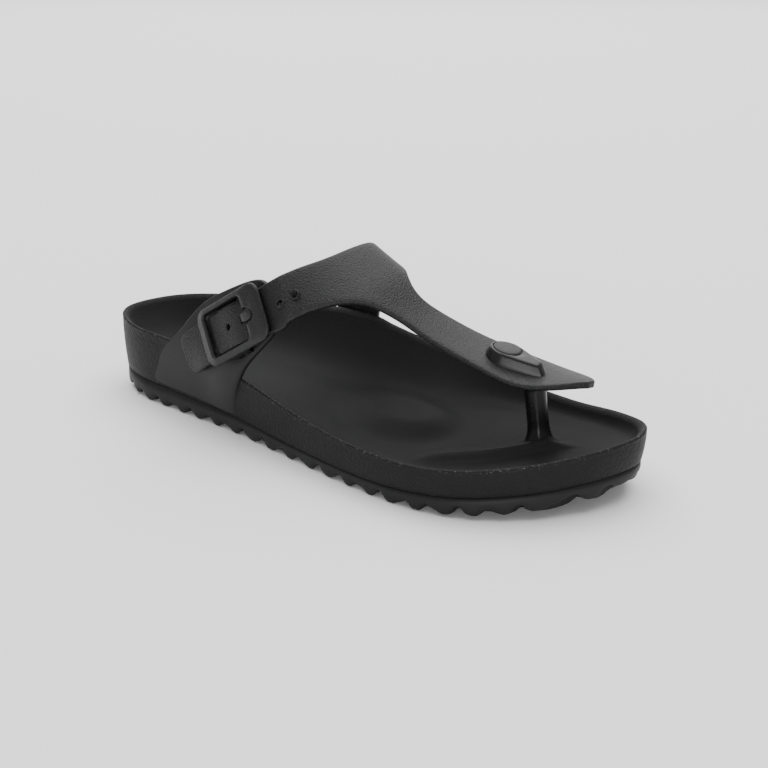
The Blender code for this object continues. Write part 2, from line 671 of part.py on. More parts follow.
def spread(count):
    return [2 * j / (count - 1) - 1 for j in range(count)]


def strap_surface():
    """The strap's places on the foot's surface and the quads between them: a band with a stem ahead of it."""
    rows = strap_rows()
    places = [place for row in rows for place in row]
    grid = [[i * len(rows[0]) + j for j in range(len(rows[0]))] for i in range(len(rows))]
    quads = grid_quads(grid)
    first = len(rows) - len(BAND_EDGES) + STEM_ROOT[0]
    last = len(rows) - len(BAND_EDGES) + STEM_ROOT[1]
    root = [grid[i][-1] for i in range(first, last + 1)]
    before = root
    for lateral, medial in STEM_EDGES:
        row = []
        for k in range(len(root)):
            share = k / (len(root) - 1)
            u = lateral[0] + (medial[0] - lateral[0]) * share
            y = lateral[1] + (medial[1] - lateral[1]) * share
            places.append((u * SOLE_LENGTH, stem_turn(u * SOLE_LENGTH, y)))
            row.append(len(places) - 1)
        quads += [(before[k + 1], before[k], row[k], row[k + 1]) for k in range(len(root) - 1)]
        before = row
    return places, quads


def strap_solid(lower, upper):
    places, quads = strap_surface()
    lifts = [strap_lift(on_last(x, turn, 0)) for x, turn in places]
    return plate([on_last(x, turn, lift + lower) for (x, turn), lift in zip(places, lifts)],
                 [on_last(x, turn, lift + upper) for (x, turn), lift in zip(places, lifts)], quads)


def quarter_pocket():
    """The space in the sole's medial wall that the strap's quarter is let into."""
    columns, rows = 5, []
    for (u_rear, turn_rear), (u_front, turn_front) in BAND_EDGES[-7:]:
        slack = FIT_GAP / SOLE_LENGTH
        rows.append([((u_rear - slack + (u_front - u_rear + 2 * slack) * (c + 1) / 2) * SOLE_LENGTH,
                      turn_rear + (turn_front - turn_rear) * (c + 1) / 2) for c in spread(columns)])
    rise = foot_crest(BAND_EDGES[-1][0][0]) - SPRING_LINE
    rows[-1] = [(x, turn + math.degrees(FIT_GAP / rise)) for x, turn in rows[-1]]
    places = [place for row in rows for place in row]
    grid = [[i * columns + j for j in range(columns)] for i in range(len(rows))]
    return plate([on_last(x, turn, -FIT_GAP) for x, turn in places],
                 [on_last(x, turn, STRAP_THICKNESS + 8) for x, turn in places], grid_quads(grid))


def upper_strap(collection, cutters, finish):
    """The one-piece T-shaped upper: instep band, holed tail, medial quarter and the tongue over the toes."""
    body = to_object("upper_strap", strap_solid(0, STRAP_THICKNESS), collection, finish)
    for i, place in enumerate(HOLES):
        centre, out = strap_hole(place)
        boolean(body, helper(f"strap_hole_{i}", cylinder(centre - out * 6, centre + out * 6, HOLE_RADIUS, 12),
                             cutters))
    slot = buckle_box(PRONG_SLOT, (-PRONG_SLOT_WIDTH / 2, PRONG_SLOT_WIDTH / 2),
                      (STRAP_ON_WING - 1, FRAME_TOP))
    boolean(body, helper("prong_slot", slot, cutters))
    post = tongue_place(POST_TOP_PLACE)
    boolean(body, helper("post_hole", cylinder(*stem_axis(post, -6, 6), POST_NECK_RADIUS + 0.2), cutters))
    boolean(body, helper("rivet_hole", cylinder(*rivet_axis(-6, 6), RIVET_SHANK_RADIUS + 0.2, 12), cutters))
    return body


def strap_hole(place):
    """Centre and outward direction of the strap hole this many pitches from the axle."""
    s = place * HOLE_PITCH
    x, turn = buckle_place(s, 0) if s < FRAME_FRONT + 2 else beyond_buckle(s)
    return on_last(x, turn, STRAP_ON_WING + STRAP_THICKNESS / 2), Vector(last_normal(x, turn))


def beyond_buckle(s):
    """The place on the line of the holes this far past the axle, above the buckle."""
    start = np.array(buckle_place(FRAME_FRONT + 2, HOLE_DROP))
    rear, front = np.array(BAND_EDGES[0][0]), np.array(BAND_EDGES[0][1])
    middle = (rear * 0.42 + front * 0.58) * (SOLE_LENGTH, 1)
    gap = np.linalg.norm(last_point(*middle) - last_point(*start))
    return start + (middle - start) * (s - FRAME_FRONT - 2) / gap


# ---- toe post and its fastenings -----------------------------------------------------------


def tongue_place(place):
    u, y = place
    return (u * SOLE_LENGTH, stem_turn(u * SOLE_LENGTH, y))


def stem_axis(place, low, high):
    """Two points on the line through the strap at this place, at lifts from the foot's surface."""
    point, out = last_point(*place), last_normal(*place)
    return Vector(point + out * low), Vector(point + out * high)


def turned(start, end, profile, segments=20):
    """A turned solid: profile is (share from start to end, radius) pairs."""
    start, end = Vector(start), Vector(end)
    axis = end - start
    side = Vector((0, 1, 0)).cross(axis).normalized()
    other = axis.normalized().cross(side)
    rings = []
    for share, radius in profile:
        centre = start + axis * share
        rings.append([centre + side * math.cos(a) * radius + other * math.sin(a) * radius
                      for a in (2 * math.pi * k / segments for k in range(segments))])
    return loft(rings)


def post_line():
    """The post's foot on the footbed, and its top under the tongue."""
    x, y = POST_FOOT_PLACE[0] * SOLE_LENGTH, POST_FOOT_PLACE[1]
    foot = Vector((x, y, footbed_height(POST_FOOT_PLACE[0])))
    top, _ = stem_axis(tongue_place(POST_TOP_PLACE), 0, 1)
    return foot, top


def anchor_floor():
    """Height of the retaining disc's underside, just clear of the tread layer all round."""
    return tread_line(POST_FOOT_PLACE[0] + (ANCHOR_RADIUS + 0.5) / SOLE_LENGTH) + FIT_GAP


def toe_post(collection, finish):
    """The post between the toes: shank in the footbed, flared foot, waist and neck through the tongue."""
    foot, top = post_line()
    neck_low, neck_high = stem_axis(tongue_place(POST_TOP_PLACE), -FIT_GAP, STRAP_THICKNESS + 1.6)
    floor = anchor_floor() + ANCHOR_THICKNESS + FIT_GAP
    rise = (top - foot)
    low = Vector((foot.x, foot.y, floor))
    rings = []
    sections = [(low, POST_SHANK_RADIUS, 0), (foot + Vector((0, 0, 1.4)), POST_SHANK_RADIUS, 0),
                (foot + Vector((0, 0, 1.4)), POST_FOOT_RADIUS, 0),
                (foot + Vector((0, 0, 2.2)), POST_FOOT_RADIUS, 0),
                (foot + rise * 0.2, POST_RADIUS * 1.3, 0.3), (foot + rise * 0.38, POST_RADIUS, 0.6),
                (foot + rise * 0.75, POST_RADIUS * 0.95, 1), (foot + rise * 0.9, POST_RADIUS * 1.08, 1),
                (neck_low, POST_RADIUS * 1.25, 1), (neck_low, POST_NECK_RADIUS, 1),
                (neck_high, POST_NECK_RADIUS, 1)]
    tilt = (neck_high - neck_low).normalized()
    for centre, radius, share in sections:
        axis = Vector((0, 0, 1)).lerp(tilt, share).normalized()
        side = Vector((0, 1, 0)).cross(axis).normalized()
        other = axis.cross(side)
        rings.append([centre + side * math.cos(a) * radius + other * math.sin(a) * radius
                      for a in (2 * math.pi * k / 20 for k in range(20))])
    return to_object("toe_post", loft(rings), collection, finish)


def toe_post_anchor(collection, finish):
    """The retaining disc under the footbed that the post's shank runs into."""
    foot, _ = post_line()
    floor = anchor_floor()
    low, high = Vector((foot.x, foot.y, floor)), Vector((foot.x, foot.y, floor + ANCHOR_THICKNESS))
    return to_object("toe_post_anchor", cylinder(low, high, ANCHOR_RADIUS), collection, finish)


def head_axes():
    """The head's place on the tongue: origin under the rivet, towards the post, sideways and outwards."""
    ahead = stem_axis(tongue_place(RIVET_PLACE), 0, 1)
    behind = stem_axis(tongue_place(POST_TOP_PLACE), 0, 1)
    out = ((ahead[1] - ahead[0]) + (behind[1] - behind[0])).normalized()
    along = (behind[0] - ahead[0])
    along = (along - out * along.dot(out)).normalized()
    return ahead[0], along, out.cross(along), out


def rivet_axis(low, high):
    origin, _, _, out = head_axes()
    return origin + out * low, origin + out * high


def toe_post_head(collection, cutters, finish):
    """The teardrop boss on the tongue that holds the post's top and carries the rivet's cap."""
    origin, along, side, out = head_axes()
    plan = []
    for k in range(13):
        angle = math.radians(90 + 180 * k / 12)
        plan.append((HEAD_RADIUS * math.cos(angle), HEAD_RADIUS * math.sin(angle)))
    far = HEAD_LENGTH - HEAD_RADIUS
    tip = HEAD_TIP_HALF_WIDTH
    plan += [(far * 0.5, -(HEAD_RADIUS + tip) / 2 - 0.3), (far - 1.2, -tip), (far, -tip * 0.6),
             (far, tip * 0.6), (far - 1.2, tip), (far * 0.5, (HEAD_RADIUS + tip) / 2 + 0.3)]
    rings = []
    for lift, inset in ((STRAP_THICKNESS + HEAD_SEAT, 0.0), (STRAP_THICKNESS + HEAD_HEIGHT - 1.2, 0.5),
                        (STRAP_THICKNESS + HEAD_HEIGHT - 0.3, 1.0), (STRAP_THICKNESS + HEAD_HEIGHT, 1.9)):
        ring = []
        for a, b in plan:
            scale = 1 - inset / HEAD_RADIUS
            ring.append(origin + out * lift + along * a * scale + side * b * scale)
        rings.append(ring)
    body = to_object("toe_post_head", loft(rings), collection, finish)
    hole = cylinder(*rivet_axis(-6, 9), RIVET_SHANK_RADIUS + 0.2, 12)
    boolean(body, helper("head_rivet_hole", hole, cutters))
    low, high = stem_axis(tongue_place(POST_TOP_PLACE), -1, STRAP_THICKNESS + 1.6 + FIT_GAP)
    boolean(body, helper("head_neck_hole", cylinder(low, high, POST_NECK_RADIUS + 0.2), cutters))
    return body


def toe_post_cap(collection, finish):
    """The domed cap on the head, with a plug that goes through the head into the tongue."""
    low, high = rivet_axis(0.2, STRAP_THICKNESS + HEAD_HEIGHT + RIVET_CAP_HEIGHT + FIT_GAP)
    span = (high - low).length
    seat = 1 - RIVET_CAP_HEIGHT / span
    profile = [(0, RIVET_SHANK_RADIUS), (seat, RIVET_SHANK_RADIUS), (seat, RIVET_CAP_RADIUS),
               (seat + (1 - seat) * 0.5, RIVET_CAP_RADIUS),
               (seat + (1 - seat) * 0.85, RIVET_CAP_RADIUS * 0.88), (1, RIVET_CAP_RADIUS * 0.6)]
    return to_object("toe_post_cap", turned(low, high, profile), collection, finish)


# ---- buckle --------------------------------------------------------------------------------


def rounded_box(s_limits, t_half, radius, per_corner=3):
    """Points round a rounded rectangle in the buckle's plane, with spare ones along the side rails."""
    s0, s1 = s_limits
    rail = [-6.5, -4.0, 0.0, 4.0, 6.5]
    points = []
    corners = [((s1 - radius, t_half - radius), 0), ((s0 + radius, t_half - radius), 90),
               ((s0 + radius, -t_half + radius), 180), ((s1 - radius, -t_half + radius), 270)]
    for index, ((cs, ct), start) in enumerate(corners):
        for k in range(per_corner + 1):
            angle = math.radians(start + 90 * k / per_corner)
            points.append((cs + radius * math.cos(angle), ct + radius * math.sin(angle)))
        if index == 0:
            points += [(s, t_half) for s in rail[::-1]]
        if index == 2:
            points += [(s, -t_half) for s in rail]
    return points


def buckle_frame(collection, cutters, finish):
    """The buckle's rectangular frame, with rails deep enough at the middle to hold the axle."""
    outer = rounded_box((FRAME_REAR, FRAME_FRONT), FRAME_HALF_WIDTH, 4.5)
    inner = rounded_box((WINDOW_REAR, WINDOW_FRONT), FRAME_HALF_WIDTH - FRAME_RAIL, 2.0)
    rings = []
    for (so, to), (si, ti) in zip(outer, inner):
        deep = 1 - smoothstep(abs(so), 3.0, RAIL_DEPTH_REACH - 0.5) if abs(to) > STRAP_END_WIDTH / 2 else 0
        base = BAR_LIFT + (AXLE_LIFT - AXLE_RADIUS - 1.3 - BAR_LIFT) * deep
        section = [(0.0, base + 0.6), (0.0, FRAME_TOP - 1.7), (0.2, FRAME_TOP - 0.5), (0.75, FRAME_TOP),
                   (0.92, FRAME_TOP - 0.2), (1.0, FRAME_TOP - 0.9), (1.0, base + 0.4),
                   (0.85, base), (0.15, base)]
        rings.append([buckle_point(so + (si - so) * share, to + (ti - to) * share, lift)
                      for share, lift in section])
    rings.append(rings[0])
    bm = loft(rings, cap_first=False, cap_last=False)
    bmesh.ops.remove_doubles(bm, verts=bm.verts, dist=0.001)
    body = to_object("buckle_frame", bm, collection, finish)
    bore = cylinder(buckle_point(0, -FRAME_HALF_WIDTH - 2, AXLE_LIFT),
                    buckle_point(0, FRAME_HALF_WIDTH + 2, AXLE_LIFT), AXLE_RADIUS + 0.05)
    boolean(body, helper("frame_bore", bore, cutters))
    rest = WINDOW_FRONT + PRONG_HEAD_LENGTH / 2 - 1.8
    recess = cylinder(buckle_point(rest, 0, FRAME_TOP - PRONG_HEAD_HEIGHT - 0.1),
                      buckle_point(rest, 0, FRAME_TOP + 4),
                      PRONG_HEAD_LENGTH / 2 + 0.35)
    boolean(body, helper("prong_rest", recess, cutters))
    return body


def buckle_axle(collection, finish):
    end = FRAME_HALF_WIDTH - 0.4
    pin = cylinder(buckle_point(0, -end, AXLE_LIFT), buckle_point(0, end, AXLE_LIFT), AXLE_RADIUS)
    return to_object("buckle_axle", pin, collection, finish)


def buckle_prong(collection, cutters, finish):
    """The pin: an eye on the axle, an arm under the strap and a flat head that rests on the frame."""
    r, h = PRONG_WIRE_RADIUS, PRONG_HEAD_WIDTH / 2
    top = FRAME_TOP - PRONG_HEAD_HEIGHT / 2 + 0.3
    reach = WINDOW_FRONT + PRONG_HEAD_LENGTH - 1.9
    line = [(0.4, AXLE_LIFT, r * 0.9, r * 0.8), (4.6, AXLE_LIFT + 0.1, r, r * 0.8),
            (7.2, AXLE_LIFT + 1.6, r, r * 0.85), (8.7, top - 1.5, r, r * 0.9),
            (reach - PRONG_HEAD_LENGTH + 0.6, top - 0.1, h * 0.8, 0.85),
            (reach - PRONG_HEAD_LENGTH + 2.2, top, h, 0.85), (reach - 1.6, top, h, 0.85),
            (reach - 0.4, top, h * 0.7, 0.8), (reach, top, h * 0.35, 0.7)]
    rings = []
    for i, (s, lift, wide, high) in enumerate(line):
        a, b = line[max(i - 1, 0)], line[min(i + 1, len(line) - 1)]
        run, climb = b[0] - a[0], b[1] - a[1]
        size = math.hypot(run, climb)
        ring = []
        for k in range(12):
            angle = 2 * math.pi * k / 12
            up = math.sin(angle) * high
            ring.append(buckle_point(s - climb / size * up, math.cos(angle) * wide, lift + run / size * up))
        rings.append(ring)
    body = to_object("buckle_prong", loft(rings), collection, finish)
    eye = cylinder(buckle_point(0, -r, AXLE_LIFT), buckle_point(0, r, AXLE_LIFT), LUG_RADIUS)
    boolean(body, helper("prong_eye", eye, cutters), "UNION")
    bore = cylinder(buckle_point(0, -4, AXLE_LIFT), buckle_point(0, 4, AXLE_LIFT), AXLE_RADIUS + AXLE_PLAY)
    boolean(body, helper("prong_bore", bore, cutters))
    return body


# ---- the sandal ----------------------------------------------------------------------------


def build():
    clear_scene()
    parts, cutters = new_collection(COLLECTION), new_collection("cutters")
    foam = material("footbed_foam", (0.045, 0.046, 0.049), 0.62)
    tread = material("tread_foam", (0.04, 0.041, 0.044), 0.55)
    wing = material("quarter_foam", (0.047, 0.048, 0.052), 0.5)
    strap = material("strap_foam", (0.047, 0.048, 0.053), 0.45)
    post = material("post_foam", (0.04, 0.041, 0.045), 0.4)
    head = material("head_plastic", (0.038, 0.039, 0.043), 0.35)
    cap = material("cap_plastic", (0.042, 0.043, 0.047), 0.4)
    disc = material("anchor_plastic", (0.05, 0.05, 0.052), 0.5)
    frame = material("frame_plastic", (0.046, 0.047, 0.052), 0.45)
    prong = material("prong_plastic", (0.045, 0.046, 0.05), 0.4)
    steel = material("axle_steel", (0.55, 0.55, 0.57), 0.35, 1.0)

    foot, _ = post_line()
    floor = anchor_floor()
    shank = cylinder((foot.x, foot.y, floor - 4), (foot.x, foot.y, foot.z + 12), POST_SHANK_RADIUS + 0.2)
    pocket = cylinder((foot.x, foot.y, floor - 4), (foot.x, foot.y, floor + ANCHOR_THICKNESS + FIT_GAP),
                      ANCHOR_RADIUS + 0.3)
    wing_pocket = wing_solid(-FIT_GAP, WING_THICKNESS + 8, FIT_GAP)
    footbed(parts, foam, [helper("post_shank_hole", shank, cutters), helper("anchor_pocket", pocket, cutters),
                          helper("wing_pocket", wing_pocket, cutters),
                          helper("quarter_pocket", quarter_pocket(), cutters)])
    sole = outsole(parts, tread)
    boolean(sole, tread_cutters(cutters))
    lateral_quarter(parts, cutters, wing)
    upper_strap(parts, cutters, strap)
    toe_post(parts, post)
    toe_post_anchor(parts, disc)
    toe_post_head(parts, cutters, head)
    toe_post_cap(parts, cap)
    for moving in (buckle_frame(parts, cutters, frame), buckle_axle(parts, steel),
                   buckle_prong(parts, cutters, prong)):
        hang_on_axle(moving)
    for obj in cutters.objects:
        obj.hide_render = True


build()
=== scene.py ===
"""The finished look of a right-foot thong sandal in moulded foam: surfaces, grains, floor and light.

The shape is drawn in sandal millimetres, with x from the heel's back to the toe, y towards the big-toe
side and z up from the ground, and every finished mesh is moved into the frame's metres.
"""

import math

import bmesh
import bpy
import numpy as np
from mathutils import Matrix, Vector

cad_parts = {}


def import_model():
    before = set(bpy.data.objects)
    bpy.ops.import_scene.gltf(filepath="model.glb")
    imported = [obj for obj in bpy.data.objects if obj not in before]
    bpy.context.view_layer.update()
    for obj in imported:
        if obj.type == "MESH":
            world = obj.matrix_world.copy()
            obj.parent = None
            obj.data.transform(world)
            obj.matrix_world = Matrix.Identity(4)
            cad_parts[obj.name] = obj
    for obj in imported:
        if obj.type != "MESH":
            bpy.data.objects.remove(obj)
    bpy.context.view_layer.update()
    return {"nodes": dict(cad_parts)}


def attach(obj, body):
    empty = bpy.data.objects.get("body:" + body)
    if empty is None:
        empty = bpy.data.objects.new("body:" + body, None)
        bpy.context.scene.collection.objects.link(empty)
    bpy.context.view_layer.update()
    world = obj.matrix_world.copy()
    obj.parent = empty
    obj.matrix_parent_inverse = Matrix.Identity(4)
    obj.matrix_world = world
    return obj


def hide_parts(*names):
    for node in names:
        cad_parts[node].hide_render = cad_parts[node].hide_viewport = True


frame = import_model()

MM = 0.001

# Sole
SOLE_LENGTH = 256.0
BALL_WIDTH = 96.0
WALL_FLARE = 1.2  # how far the wall leans out from the tread line to the rim
RIM_WIDTH = 3.2
RIM_ROUND = 1.0
TREAD_PITCH = 11.5
TREAD_DEPTH = 3.2
TREAD_ZIGZAG = 3.4
TREAD_ZIGZAG_STEP = 15.0
FIT_GAP = 0.3

# Uppers
WING_THICKNESS = 2.8
STRAP_THICKNESS = 2.8
STRAP_END_WIDTH = 18.6
CREST_Y = 5.0  # where the instep is highest
SPRING_LINE = 28.0  # height at which the uppers start to lean in
WING_LIFT = 0.6  # of the uppers' lower edges above the tread line

# Strap holes
HOLE_PITCH = 5.65
HOLE_DROP = 2.4  # of the last holes below the strap's middle line
HOLE_RADIUS = 1.5
HOLES = (0, 5, 6)  # round holes, in pitches from the axle; the prong is in the hole at 1

# Buckle
FRAME_WINDOW = 25.0
FRAME_REAR_BAR = 6.0
FRAME_FRONT_BAR = 10.6
FRAME_RAIL = 2.9
FRAME_BAR_HEIGHT = 3.6
SIDE_GAP = 0.4  # between the strap's edges and the frame's rails
AXLE_RADIUS = 1.0
AXLE_PLAY = 0.08
LUG_WALL = 0.9
RAIL_DEPTH_REACH = 7.0  # either side of the axle, within which the rails reach down to hold it
PRONG_WIRE_RADIUS = 1.0
PRONG_HEAD_WIDTH = 4.4
PRONG_HEAD_LENGTH = 6.4
PRONG_HEAD_HEIGHT = 1.8
PRONG_NOTCH_GAP = 0.45

# Toe post
POST_RADIUS = 4.7
HEAD_RADIUS = 8.0
HEAD_TIP_HALF_WIDTH = 3.6
HEAD_LENGTH = 26.0
HEAD_HEIGHT = 4.4
RIVET_CAP_RADIUS = 5.9

# Plan of the rim: (share of the length, share of the ball width)
RIM_PLAN = [
    (0.000, -0.010), (0.016, -0.167), (0.086, -0.276), (0.195, -0.313), (0.332, -0.349),
    (0.469, -0.417), (0.605, -0.484), (0.723, -0.515), (0.820, -0.474), (0.902, -0.339),
    (0.961, -0.156), (0.996, 0.031), (1.000, 0.180), (0.969, 0.318), (0.895, 0.423),
    (0.781, 0.475), (0.664, 0.445), (0.527, 0.365), (0.391, 0.323), (0.234, 0.323),
    (0.117, 0.302), (0.031, 0.177),
]
HEEL_CENTRE = (0.117, 0.010)
TOE_CENTRE = (0.850, 0.060)

# Heights along the sole: (share of the length, height)
LATERAL_RIM = [(0, 36), (0.07, 35), (0.17, 34.5), (0.25, 32), (0.39, 27), (0.5, 22.5), (0.61, 19.6),
               (0.72, 19), (0.82, 20.8), (0.92, 24), (1, 27.5)]
MEDIAL_RIM = [(0, 36), (0.15, 38.5), (0.3, 41.5), (0.39, 44), (0.45, 43.4), (0.49, 40.4), (0.53, 37.6),
              (0.58, 34), (0.66, 27.5), (0.74, 22.5), (0.82, 21.2), (0.92, 23.8), (1, 27.5)]
TREAD_LINE = [(0, 11), (0.15, 10), (0.35, 8), (0.5, 6.6), (0.63, 6.3), (0.78, 8.2), (0.9, 11), (1, 14.5)]
FOOTBED = [(0, 23), (0.12, 20), (0.25, 20.5), (0.4, 20), (0.5, 18), (0.6, 15.5), (0.7, 14), (0.8, 14.3),
           (0.88, 16), (1, 21)]
CUP_POWER_LATERAL = [(0, 3.5), (0.3, 4), (0.5, 6), (0.7, 9), (1, 9)]
CUP_POWER_MEDIAL = [(0, 3.5), (0.25, 3), (0.45, 2.4), (0.6, 4), (0.75, 8), (1, 9)]
TOE_SPRING = 7.2
TOE_SPRING_FROM = 0.68
HEEL_SPRING = 3.0
HEEL_SPRING_TO = 0.14
PAD_CENTRE = (0.594, -0.02)
PAD_HEIGHT = 5.2
FOOT_CREST = [(0.1, 112), (0.39, 96.5), (0.45, 89), (0.496, 82.5), (0.547, 75), (0.574, 71), (0.603, 64.5),
              (0.645, 57), (0.691, 51.5), (0.738, 47), (0.8, 42.5), (0.84, 41), (0.92, 40.5)]

# The band's rear and front edges over the foot: (share of the length, turn about the instep in degrees)
BAND_EDGES = [
    ((0.437, -44), (0.475, -59)), ((0.454, -37.5), (0.512, -47)), ((0.470, -30.5), (0.539, -38)),
    ((0.483, -22), (0.565, -30.5)), ((0.491, -13), (0.586, -25)), ((0.495, -5), (0.597, -18)),
    ((0.496, 2), (0.600, -9)), ((0.494, 10), (0.598, -2)), ((0.489, 18), (0.588, 4)),
    ((0.480, 26), (0.566, 14)), ((0.466, 36), (0.548, 25)), ((0.440, 49), (0.522, 42)),
    ((0.408, 62), (0.484, 58)), ((0.374, 75), (0.457, 73)), ((0.345, 86), (0.448, 86)),
    ((0.325, 95), (0.450, 95)), ((0.312, 104), (0.457, 104)),
]
STEM_ROOT = (4, 8)  # the band's rows between which the stem springs from its front edge
# The stem's lateral and medial edges: (share of the length, y)
STEM_EDGES = [
    ((0.622, -10.4), (0.612, 7.2)), ((0.645, -9.6), (0.637, 11.0)), ((0.689, -8.4), (0.680, 15.6)),
    ((0.730, -7.0), (0.722, 20.5)), ((0.773, -6.2), (0.772, 28.0)), ((0.800, -6.2), (0.805, 30.4)),
    ((0.833, -5.0), (0.840, 30.6)), ((0.865, 1.0), (0.868, 28.8)), ((0.886, 8.0), (0.889, 25.6)),
    ((0.898, 13.5), (0.900, 21.5)),
]
BUCKLE_PLACE = (0.359, 50.0)  # share of the length, height
BUCKLE_CLIMB = 32.5
TAIL_END = (0.245, 30.0)
# The wing's rear and front edges, from its foot to its round end: (share of the length, height)
WING_REAR = [(0.130, 10.5), (0.132, 16.0), (0.142, 23.0), (0.165, 31.0), (0.202, 37.5), (0.224, 44.0),
             (0.245, 51.0), (0.275, 57.5), (0.310, 62.0), (0.345, 66.5), (0.382, 70.5), (0.404, 71.5),
             (0.416, 69.8)]
WING_FRONT = [(0.350, 9.0), (0.350, 15.0), (0.356, 21.0), (0.372, 30.0), (0.386, 35.5), (0.400, 39.5),
              (0.412, 43.0), (0.423, 46.0), (0.432, 48.5), (0.440, 51.0), (0.446, 54.0), (0.447, 58.0),
              (0.439, 62.4)]
POST_FOOT_PLACE = (0.843, 7.0)
POST_TOP_PLACE = (0.822, 8.8)
RIVET_PLACE = (0.767, 8.7)

# The finer surfaces
RIM_STEPS = 5  # rings over the rim, the footbed, the wall and the tread's underside
FOOTBED_STEPS = 50
WALL_STEPS = 7
TREAD_STEPS = 22
POST_STEPS = 34
ROUND_STEPS = 64  # points round the post and the cap
SHEET_LEVELS = 3  # of smoothing on the wing and the strap
RIM_DROP = 0.75  # of the rim's flat, and RIM_FALL of the footbed's edge, below the rim's top
RIM_FALL = 1.9
SHEET_LIFT = 0.15  # of the wing above the foot's surface
PAD_RADII = (31.0, 25.0)
RIDGE_LINE = [(178, -40), (191, -28), (203, -17), (213.5, -4), (221, 4), (233, 13)]
RIDGE_HEIGHT = 3.1
SKIRT_HEIGHT = 3.4  # of the footbed where it rises to the post
TONGUE_TIP = ((0.9035, 15.4), (0.905, 19.4))  # one more row ahead of STEM_EDGES, which rounds the tongue
EXTRA_HUMP = 0.3  # by which the finished strap stands higher over the axle than STRAP_HUMP
HOLE_DEPTH = 1.7  # of the holes beyond the buckle, which are blind: their dark floor is put where a real hole shows only shade
HOLE_LIP = 0.42  # radius of the bead round a hole
PRONG_OPENING = (7.4, 12.2)  # the prong's hole in the strap, from end to end, ahead of the axle
PRONG_GROOVE = (4.4, 7.8)  # room under the strap for the prong's arm when it lifts
PRONG_OPENING_HALF = 1.3
WING_SLOT_REACH = 4.9  # of the rails' slots in the wing, either side of the axle
WING_SLOT_FLOOR = 0.8
FRAME_CORNER = 5.4
WINDOW_CORNER = 2.2
REAR_BAR_RISE = 1.5  # of the rear bar's underside, which clears the strap

# Camera and light
VIEW_AZIMUTH = 37.0
VIEW_ELEVATION = 19.5
VIEW_DISTANCE = 600.0
VIEW_TARGET = (127.5, 0.0, 40.0)
LENS = 66.0
SHIFT = (0.0395, -0.0494)
WORLD_STRENGTH = 0.5
# Area lights in the frame's metres: name, place, the point it faces, width and height, watts
LIGHTS = [
    ("overhead", (-0.3, 0.5, 2.2), (0, 0, 0), (3.5, 3.5), 120.0),
    ("backdrop", (-1.0, 1.4, 0.75), (0, 0, 0.04), (2.0, 1.2), 9.0),
    ("front", (0.9, -1.3, 0.35), (0, 0, 0.03), (1.4, 0.5), 12.0),
]


def table(points):
    """A smooth function through (place, value) pairs that never overshoots them."""
    xs = np.array([p[0] for p in points], float)
    ys = np.array([p[1] for p in points], float)
    steps, slopes = np.diff(xs), np.diff(ys) / np.diff(xs)
    ends = [slopes[0]] + [0.0] * (len(xs) - 2) + [slopes[-1]]
    for i in range(1, len(xs) - 1):
        if slopes[i - 1] * slopes[i] > 0:
            w1, w2 = 2 * steps[i] + steps[i - 1], steps[i] + 2 * steps[i - 1]
            ends[i] = (w1 + w2) / (w1 / slopes[i - 1] + w2 / slopes[i])

    def value(x):
        i = int(np.clip(np.searchsorted(xs, x) - 1, 0, len(steps) - 1))
        if x <= xs[0] or x >= xs[-1]:
            end = 0 if x <= xs[0] else -1
            return float(ys[end] + ends[end] * (x - xs[end]))
        h, t = steps[i], (x - xs[i]) / steps[i]
        return float(
            ys[i] * (1 + 2 * t) * (1 - t) ** 2 + h * ends[i] * t * (1 - t) ** 2
            + ys[i + 1] * t * t * (3 - 2 * t) + h * ends[i + 1] * t * t * (t - 1)
        )

    return value


def closed_plan(points, count=480):
    """Points along a smooth closed curve (Catmull-Rom) through the given ones."""
    pts = [np.array([u * SOLE_LENGTH, v * BALL_WIDTH]) for u, v in points]
    each, out = count // len(pts), []
    for i in range(len(pts)):
        a, b, c, d = (pts[(i + k) % len(pts)] for k in (-1, 0, 1, 2))
        for k in range(each):
            t = k / each
            out.append(0.5 * (2 * b + (c - a) * t + (2 * a - 5 * b + 4 * c - d) * t * t
                              + (3 * b - a - 3 * c + d) * t ** 3))
    return np.array(out)


PLAN = closed_plan(RIM_PLAN)
PLAN_CENTRE = (PLAN.min(axis=0) + PLAN.max(axis=0)) / 2
SANDAL_SHIFT = (-float(PLAN_CENTRE[0]), -float(PLAN_CENTRE[1]), 0.0)  # puts the plan's middle at the origin
rim_lateral, rim_medial = table(LATERAL_RIM), table(MEDIAL_RIM)
tread_line, footbed_height = table(TREAD_LINE), table(FOOTBED)
cup_lateral, cup_medial = table(CUP_POWER_LATERAL), table(CUP_POWER_MEDIAL)
foot_crest = table(FOOT_CREST)


def smoothstep(x, low, high):
    t = min(1.0, max(0.0, (x - low) / (high - low)))
    return t * t * (3 - 2 * t)


def plan_edge(x, side):
    """The rim's y at x, on the lateral side (-1) or the medial side (+1)."""
    half = len(PLAN) * RIM_PLAN.index((1.000, 0.180)) // len(RIM_PLAN)
    run = PLAN[:half] if side < 0 else PLAN[half:][::-1]
    order = np.argsort(run[:, 0])
    return float(np.interp(x, run[order, 0], run[order, 1]))


def spring(x):
    """Height of the tread's underside, which lifts at the toe and a little at the heel."""
    u = x / SOLE_LENGTH
    toe = max(0.0, (u - TOE_SPRING_FROM) / (1 - TOE_SPRING_FROM))
    heel = max(0.0, (HEEL_SPRING_TO - u) / HEEL_SPRING_TO)
    return TOE_SPRING * toe ** 2 + HEEL_SPRING * heel ** 2


def tread_edge(x):
    """Height of the line between the footbed's wall and the tread."""
    return tread_line(min(1.0, max(0.0, x / SOLE_LENGTH)))


# ---- stations round the sole ---------------------------------------------------------------


